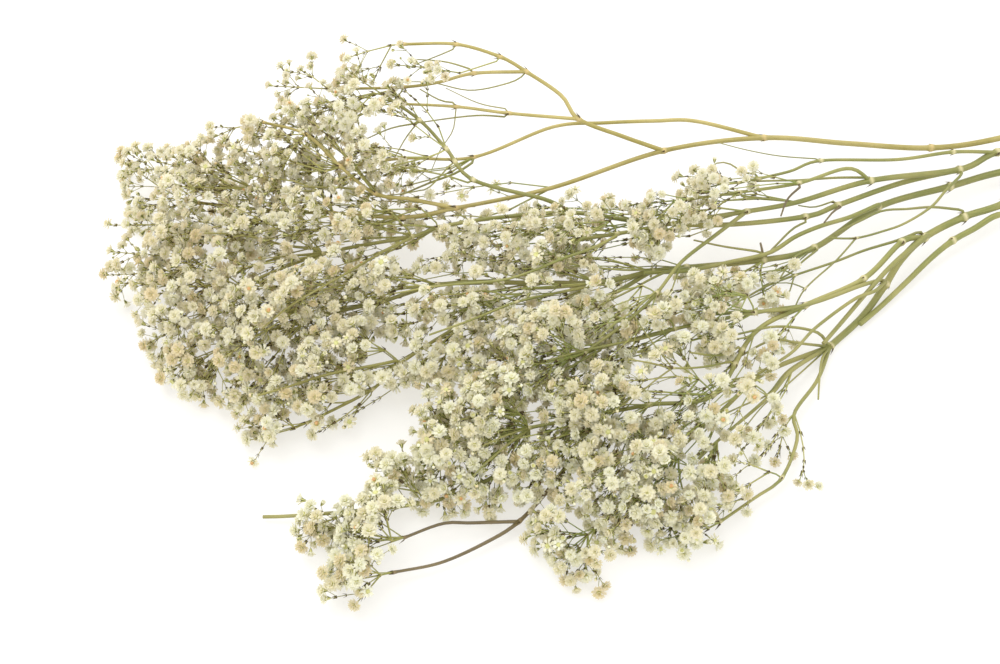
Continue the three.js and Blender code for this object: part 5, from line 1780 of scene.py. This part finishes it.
def make_rind_group():
    """The skin of a dried stalk: streaks along it, faded patches and pale knots."""
    group, given, result = new_group(
        "stalk_rind", {name: ("NodeSocketColor", WHITE) for name in ("Fresh", "Dry", "Knot")},
        {"Color": "NodeSocketColor", "Roughness": "NodeSocketFloat", "Height": "NodeSocketFloat"})
    stretch = group.nodes.new("ShaderNodeVectorMath")
    stretch.operation = "MULTIPLY"
    stretch.inputs[1].default_value = GRAIN_STRETCH
    group.links.new(add_attribute(group, "grain", "Vector"), stretch.inputs[0])
    streak = add_noise(group, stretch.outputs["Vector"], scale=1.9, detail=4)
    patch = add_noise(group, add_object_place(group), scale=32, detail=3)
    speck = add_noise(group, add_object_place(group), scale=1400, detail=2)
    faded = add_mix(group, add_range(group, patch, 0.4, 0.66), given["Fresh"], given["Dry"])
    streaked = add_mix(group, add_range(group, streak, 0.42, 0.7, 0, 0.55), faded, given["Dry"])
    aged_share = add_range(group, add_attribute(group, "tone"), 0, 1, 0, 0.4)
    aged = add_mix(group, aged_share, streaked, AGED_TINT, "MULTIPLY")
    knot_share = add_range(group, add_attribute(group, "along"), 0.3, 0.9, 0, 0.85)
    knotted = add_mix(group, knot_share, aged, given["Knot"])
    specked = add_mix(group, add_range(group, speck, 0.62, 0.72, 0, 0.5), knotted, SPECK_TINT, "MULTIPLY")
    group.links.new(specked, result["Color"])
    group.links.new(add_range(group, streak, 0.3, 0.7, 0.38, 0.62), result["Roughness"])
    group.links.new(streak, result["Height"])
    return group


# Over which places across the stem, in metres, its rind turns from fresh to what it is towards the tips
FAR_RANGE = (-0.1, -0.24)
# The way back and towards the tips, and over which metres of it florets turn more beige
BACK_WAY = (-0.4, 1, 0)
BACK_RANGE = (-0.04, 0.1)


def add_far_share(tree):
    """How far across the stem a place is: 0 towards the cut end, 1 towards the tips."""
    axes = tree.nodes.new("ShaderNodeSeparateXYZ")
    tree.links.new(add_object_place(tree), axes.inputs["Vector"])
    return add_range(tree, axes.outputs["X"], *FAR_RANGE)


def add_back_share(tree):
    """How far back and towards the tips a place is, from 0 to 1."""
    across = tree.nodes.new("ShaderNodeVectorMath")
    across.operation = "DOT_PRODUCT"
    tree.links.new(add_object_place(tree), across.inputs[0])
    across.inputs[1].default_value = BACK_WAY
    return add_range(tree, across.outputs["Value"], *BACK_RANGE)


def make_rind(name, group, fresh, far, dry, knot, relief):
    """A stalk's material from its colours: fresh near the cut end and far from it, dry, and at its knots."""
    material, tree, shader = new_material(name, 0.5, 0.4)
    shade = add_mix(tree, add_far_share(tree), colour(*fresh), colour(*far))
    rind = add_group(tree, group, Fresh=shade, Dry=colour(*dry), Knot=colour(*knot))
    tree.links.new(rind["Color"], shader.inputs["Base Color"])
    tree.links.new(rind["Roughness"], shader.inputs["Roughness"])
    add_bump(tree, shader, rind["Height"], relief)
    return material


def make_mottle_group():
    """Soft blotches of a darker shade on anything thin and dried, with a fine crinkle."""
    group, given, result = new_group(
        "dry_mottle", {"Light": ("NodeSocketColor", WHITE), "Dark": ("NodeSocketColor", WHITE),
                       "Scale": ("NodeSocketFloat", 500.0)},
        {"Color": "NodeSocketColor", "Height": "NodeSocketFloat"})
    blotch = add_noise(group, add_object_place(group), given["Scale"], detail=3)
    mixed = add_mix(group, add_range(group, blotch, 0.38, 0.68), given["Light"], given["Dark"])
    group.links.new(mixed, result["Color"])
    group.links.new(blotch, result["Height"])
    return group


def make_mottled(name, group, light, dark, scale, roughness, relief):
    """A material of two shades in blotches."""
    material, tree, shader = new_material(name, roughness, 0.25)
    mottle = add_group(tree, group, Light=colour(*light), Dark=colour(*dark), Scale=scale)
    tree.links.new(mottle["Color"], shader.inputs["Base Color"])
    add_bump(tree, shader, mottle["Height"], relief)
    return material


PETAL_SHADES = [
    (0.0, colour(238, 237, 212)), (0.45, colour(236, 232, 202)), (0.8, colour(231, 222, 186)),
    (1.0, colour(222, 204, 158)),
]
PETAL_BLOTCH = (0.93, 0.91, 0.74, 1)
PETAL_BEIGE = (0.99, 0.96, 0.94, 1)
# Yellow-green of the petals' feet: partly their own colour, partly painted warm shade deep inside each floret
PETAL_FOOT_AND_SHADE = colour(212, 212, 146)
PETAL_MOTTLE_SCALE = 700.0
PETAL_RELIEF = 0.0002
PETAL_GLOW_DEPTH = 0.0015


def make_petal_material(group):
    """Papery petals: cream to beige from floret to floret, greener at their feet, partly their own colour and
    partly painted shade deep in the floret.
    """
    material, tree, shader = new_material("petal", 0.85, 0.15)
    shader.inputs["Subsurface Weight"].default_value = 0.35
    shader.inputs["Subsurface Radius"].default_value = (1.0, 0.85, 0.6)
    shader.inputs["Subsurface Scale"].default_value = PETAL_GLOW_DEPTH
    toned = add_ramp(tree, add_attribute(tree, "tone"), PETAL_SHADES)
    shade = add_mix(tree, add_back_share(tree), toned, add_mix(tree, 1.0, toned, PETAL_BEIGE, "MULTIPLY"))
    dark = add_mix(tree, 1.0, shade, PETAL_BLOTCH, "MULTIPLY")
    mottle = add_group(tree, group, Light=shade, Dark=dark, Scale=PETAL_MOTTLE_SCALE)
    # Painted shade in part: the petals' feet, deep inside the floret, turn a darker yellow-green, their own
    # tint and the warm shade there
    foot = add_range(tree, add_attribute(tree, "along"), 0.15, 0.55, 0.4, 0)
    foot_and_shade_tinted = add_mix(tree, foot, mottle["Color"], PETAL_FOOT_AND_SHADE)
    tree.links.new(foot_and_shade_tinted, shader.inputs["Base Color"])
    add_bump(tree, shader, mottle["Height"], PETAL_RELIEF)
    return material


# Rinds: fresh near the cut end, far from it, dry, at the knots, and the depth of the relief in metres
RINDS = {
    "green": ((116, 121, 50), (130, 123, 51), (156, 150, 80), (216, 204, 148), 0.0003),
    "straw": ((158, 144, 66), (146, 132, 54), (194, 176, 102), (206, 178, 112), 0.0003),
    "brown": ((84, 70, 40), (84, 70, 40), (112, 96, 58), (130, 108, 70), 0.0003),
    "stalk": ((120, 134, 52), (144, 136, 62), (170, 166, 86), (196, 182, 116), 0.0001),
}
# Mottled surfaces: name, light and dark shades, scale of the blotches, roughness, and relief in metres
MOTTLES = {
    "rib": ("calyx_rib", (108, 112, 50), (70, 74, 34), 900.0, 0.6, 0.0001),
    "skin": ("calyx_skin", (204, 202, 128), (170, 168, 86), 900.0, 0.6, 0.0001),
    "leaf": ("dead_leaf", (88, 74, 38), (46, 36, 18), 600.0, 0.7, 0.0001),
    "heart": ("brown_heart", (214, 170, 110), (186, 128, 74), 900.0, 0.8, 0.0002),
    "pith": ("cut_pith", (226, 214, 168), (186, 168, 112), 900.0, 0.8, 0.0002),
}


def make_materials():
    rind = make_rind_group()
    mottle = make_mottle_group()
    materials = {}
    for key, shades in RINDS.items():
        materials[key] = make_rind(key + "_rind", rind, *shades)
    materials["petal"] = make_petal_material(mottle)
    for key, (name, *looks) in MOTTLES.items():
        materials[key] = make_mottled(name, mottle, *looks)
    return materials


# ---- Floor, light and camera ----

CAMERA_TARGET = (-115.0, -25.0, 22.9)
CAMERA_ELEVATION = 55.0
CAMERA_DISTANCE = 1054.0
CAMERA_LENS = 69.0
CAMERA_CLIP_START = 0.01
FLOOR_SIZE = 8.0
FLOOR_COLOUR = (0.5, 0.5, 0.495, 1)
# Painted light: the floor glows a little, warm, so that the shadows on it are faint and warm and the stem is
# lit from below
FLOOR_GLOW = 0.53
FLOOR_GLOW_COLOUR = (1, 0.97, 0.91, 1)
SKY_COLOUR = (1.0, 0.995, 0.985, 1)
SKY_STRENGTH = 1.2
KEY_PLACE = (-0.75, 0.9, 1.75)
KEY_SIZE = 1.8
KEY_POWER = 24.0
VIEW_GAMMA = 1.24


def make_floor():
    bpy.ops.object.select_all(action="DESELECT")
    bpy.ops.mesh.primitive_plane_add(size=FLOOR_SIZE)
    floor = bpy.context.object
    floor.name = "floor"
    material, _, shader = new_material("floor", 0.9, 0.1)
    shader.inputs["Base Color"].default_value = FLOOR_COLOUR
    # Painted light: a warm glow of the floor itself, not a lamp, lifts and warms its shadows
    shader.inputs["Emission Color"].default_value = FLOOR_GLOW_COLOUR
    shader.inputs["Emission Strength"].default_value = FLOOR_GLOW
    floor.data.materials.append(material)


def make_light():
    world = bpy.data.worlds.new("studio")
    world.use_nodes = True
    background = world.node_tree.nodes["Background"]
    background.inputs["Color"].default_value = SKY_COLOUR
    background.inputs["Strength"].default_value = SKY_STRENGTH
    bpy.context.scene.world = world
    lamp = bpy.data.lights.new("soft_key", "AREA")
    lamp.size = KEY_SIZE
    lamp.energy = KEY_POWER
    key = bpy.data.objects.new("soft_key", lamp)
    key.location = KEY_PLACE
    key.rotation_euler = (-Vector(KEY_PLACE)).to_track_quat("-Z", "Y").to_euler()
    bpy.context.collection.objects.link(key)
    bpy.context.scene.view_settings.view_transform = "Standard"
    bpy.context.scene.view_settings.gamma = VIEW_GAMMA


def make_camera():
    lens = bpy.data.cameras.new("camera")
    lens.lens = CAMERA_LENS
    lens.clip_start = CAMERA_CLIP_START
    camera = bpy.data.objects.new("camera", lens)
    elevation = math.radians(CAMERA_ELEVATION)
    back = point(0, -math.cos(elevation), math.sin(elevation)) * CAMERA_DISTANCE
    camera.location = in_frame(point(*CAMERA_TARGET) + back)
    camera.rotation_euler = (math.pi / 2 - elevation, 0, 0)
    bpy.context.collection.objects.link(camera)
    bpy.context.scene.camera = camera


# ---- The stem ----

# The node of each wooden piece, its rind and its slot
WOODS = [
    ("main_stem", "green", "green_stem"), ("limb_back", "straw", "straw_stem"),
    ("limb_upper", "green", "green_stem"), ("limb_middle", "green", "green_stem"),
    ("limb_front", "green", "green_stem"), ("twig_brown", "brown", "brown_stem"),
    ("twig_bare", "green", "green_stem"), ("fine_twigs", "green", "green_stem"),
    ("dead_twigs", "brown", "brown_stem"),
]


def find_shift(main):
    """How far the frame lies from the typed places, found from the cut end's ring of corners."""
    level, upward = square_frame(main.path.direction(0))
    corners = []
    for corner in range(8):
        turn = math.radians(45 * corner - 67.5)
        corners.append(main.path.at(0) + (upward * math.sin(turn) - level * math.cos(turn)) * main.radii[0])
    furthest = np.array(corners).max(0)
    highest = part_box("main_stem")[1]
    return point(highest.x / MM - furthest[0], highest.y / MM - furthest[1], 0)


def show_piece(piece, node, slot):
    """Makes a piece part of the stem, in place of the node where the frame has one."""
    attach(piece, "root")
    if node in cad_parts:
        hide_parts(node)


limbs, sprays = grow_all()
SHIFT = find_shift(limbs["main"])
add_twigs(limbs)
fine_sprays, offshoots = grow_fine(limbs, sprays)
materials = make_materials()
kinds = make_bloom_kinds(materials)
leaf = make_leaf(materials["leaf"])
leaf_pair = make_leaf_pair(leaf)
for node, finish, slot in WOODS:
    piece = make_limb_piece(node, limbs, materials[finish], leaf)
    if node == "main_stem":
        show_cut(piece, materials["pith"])
    show_piece(piece, node, slot)
for spray in fine_sprays:
    piece = make_growth_piece(spray, spray.name + "_flowers", kinds, leaf_pair, materials["stalk"])
    show_piece(piece, spray.name, "spray")
for growth in offshoots:
    piece = make_growth_piece(growth, growth.name, kinds, leaf_pair, materials["stalk"])
    show_piece(piece, growth.name, "spray")
for pattern in (*kinds.values(), leaf, leaf_pair):
    bpy.data.objects.remove(pattern)
make_floor()
make_light()
make_camera()
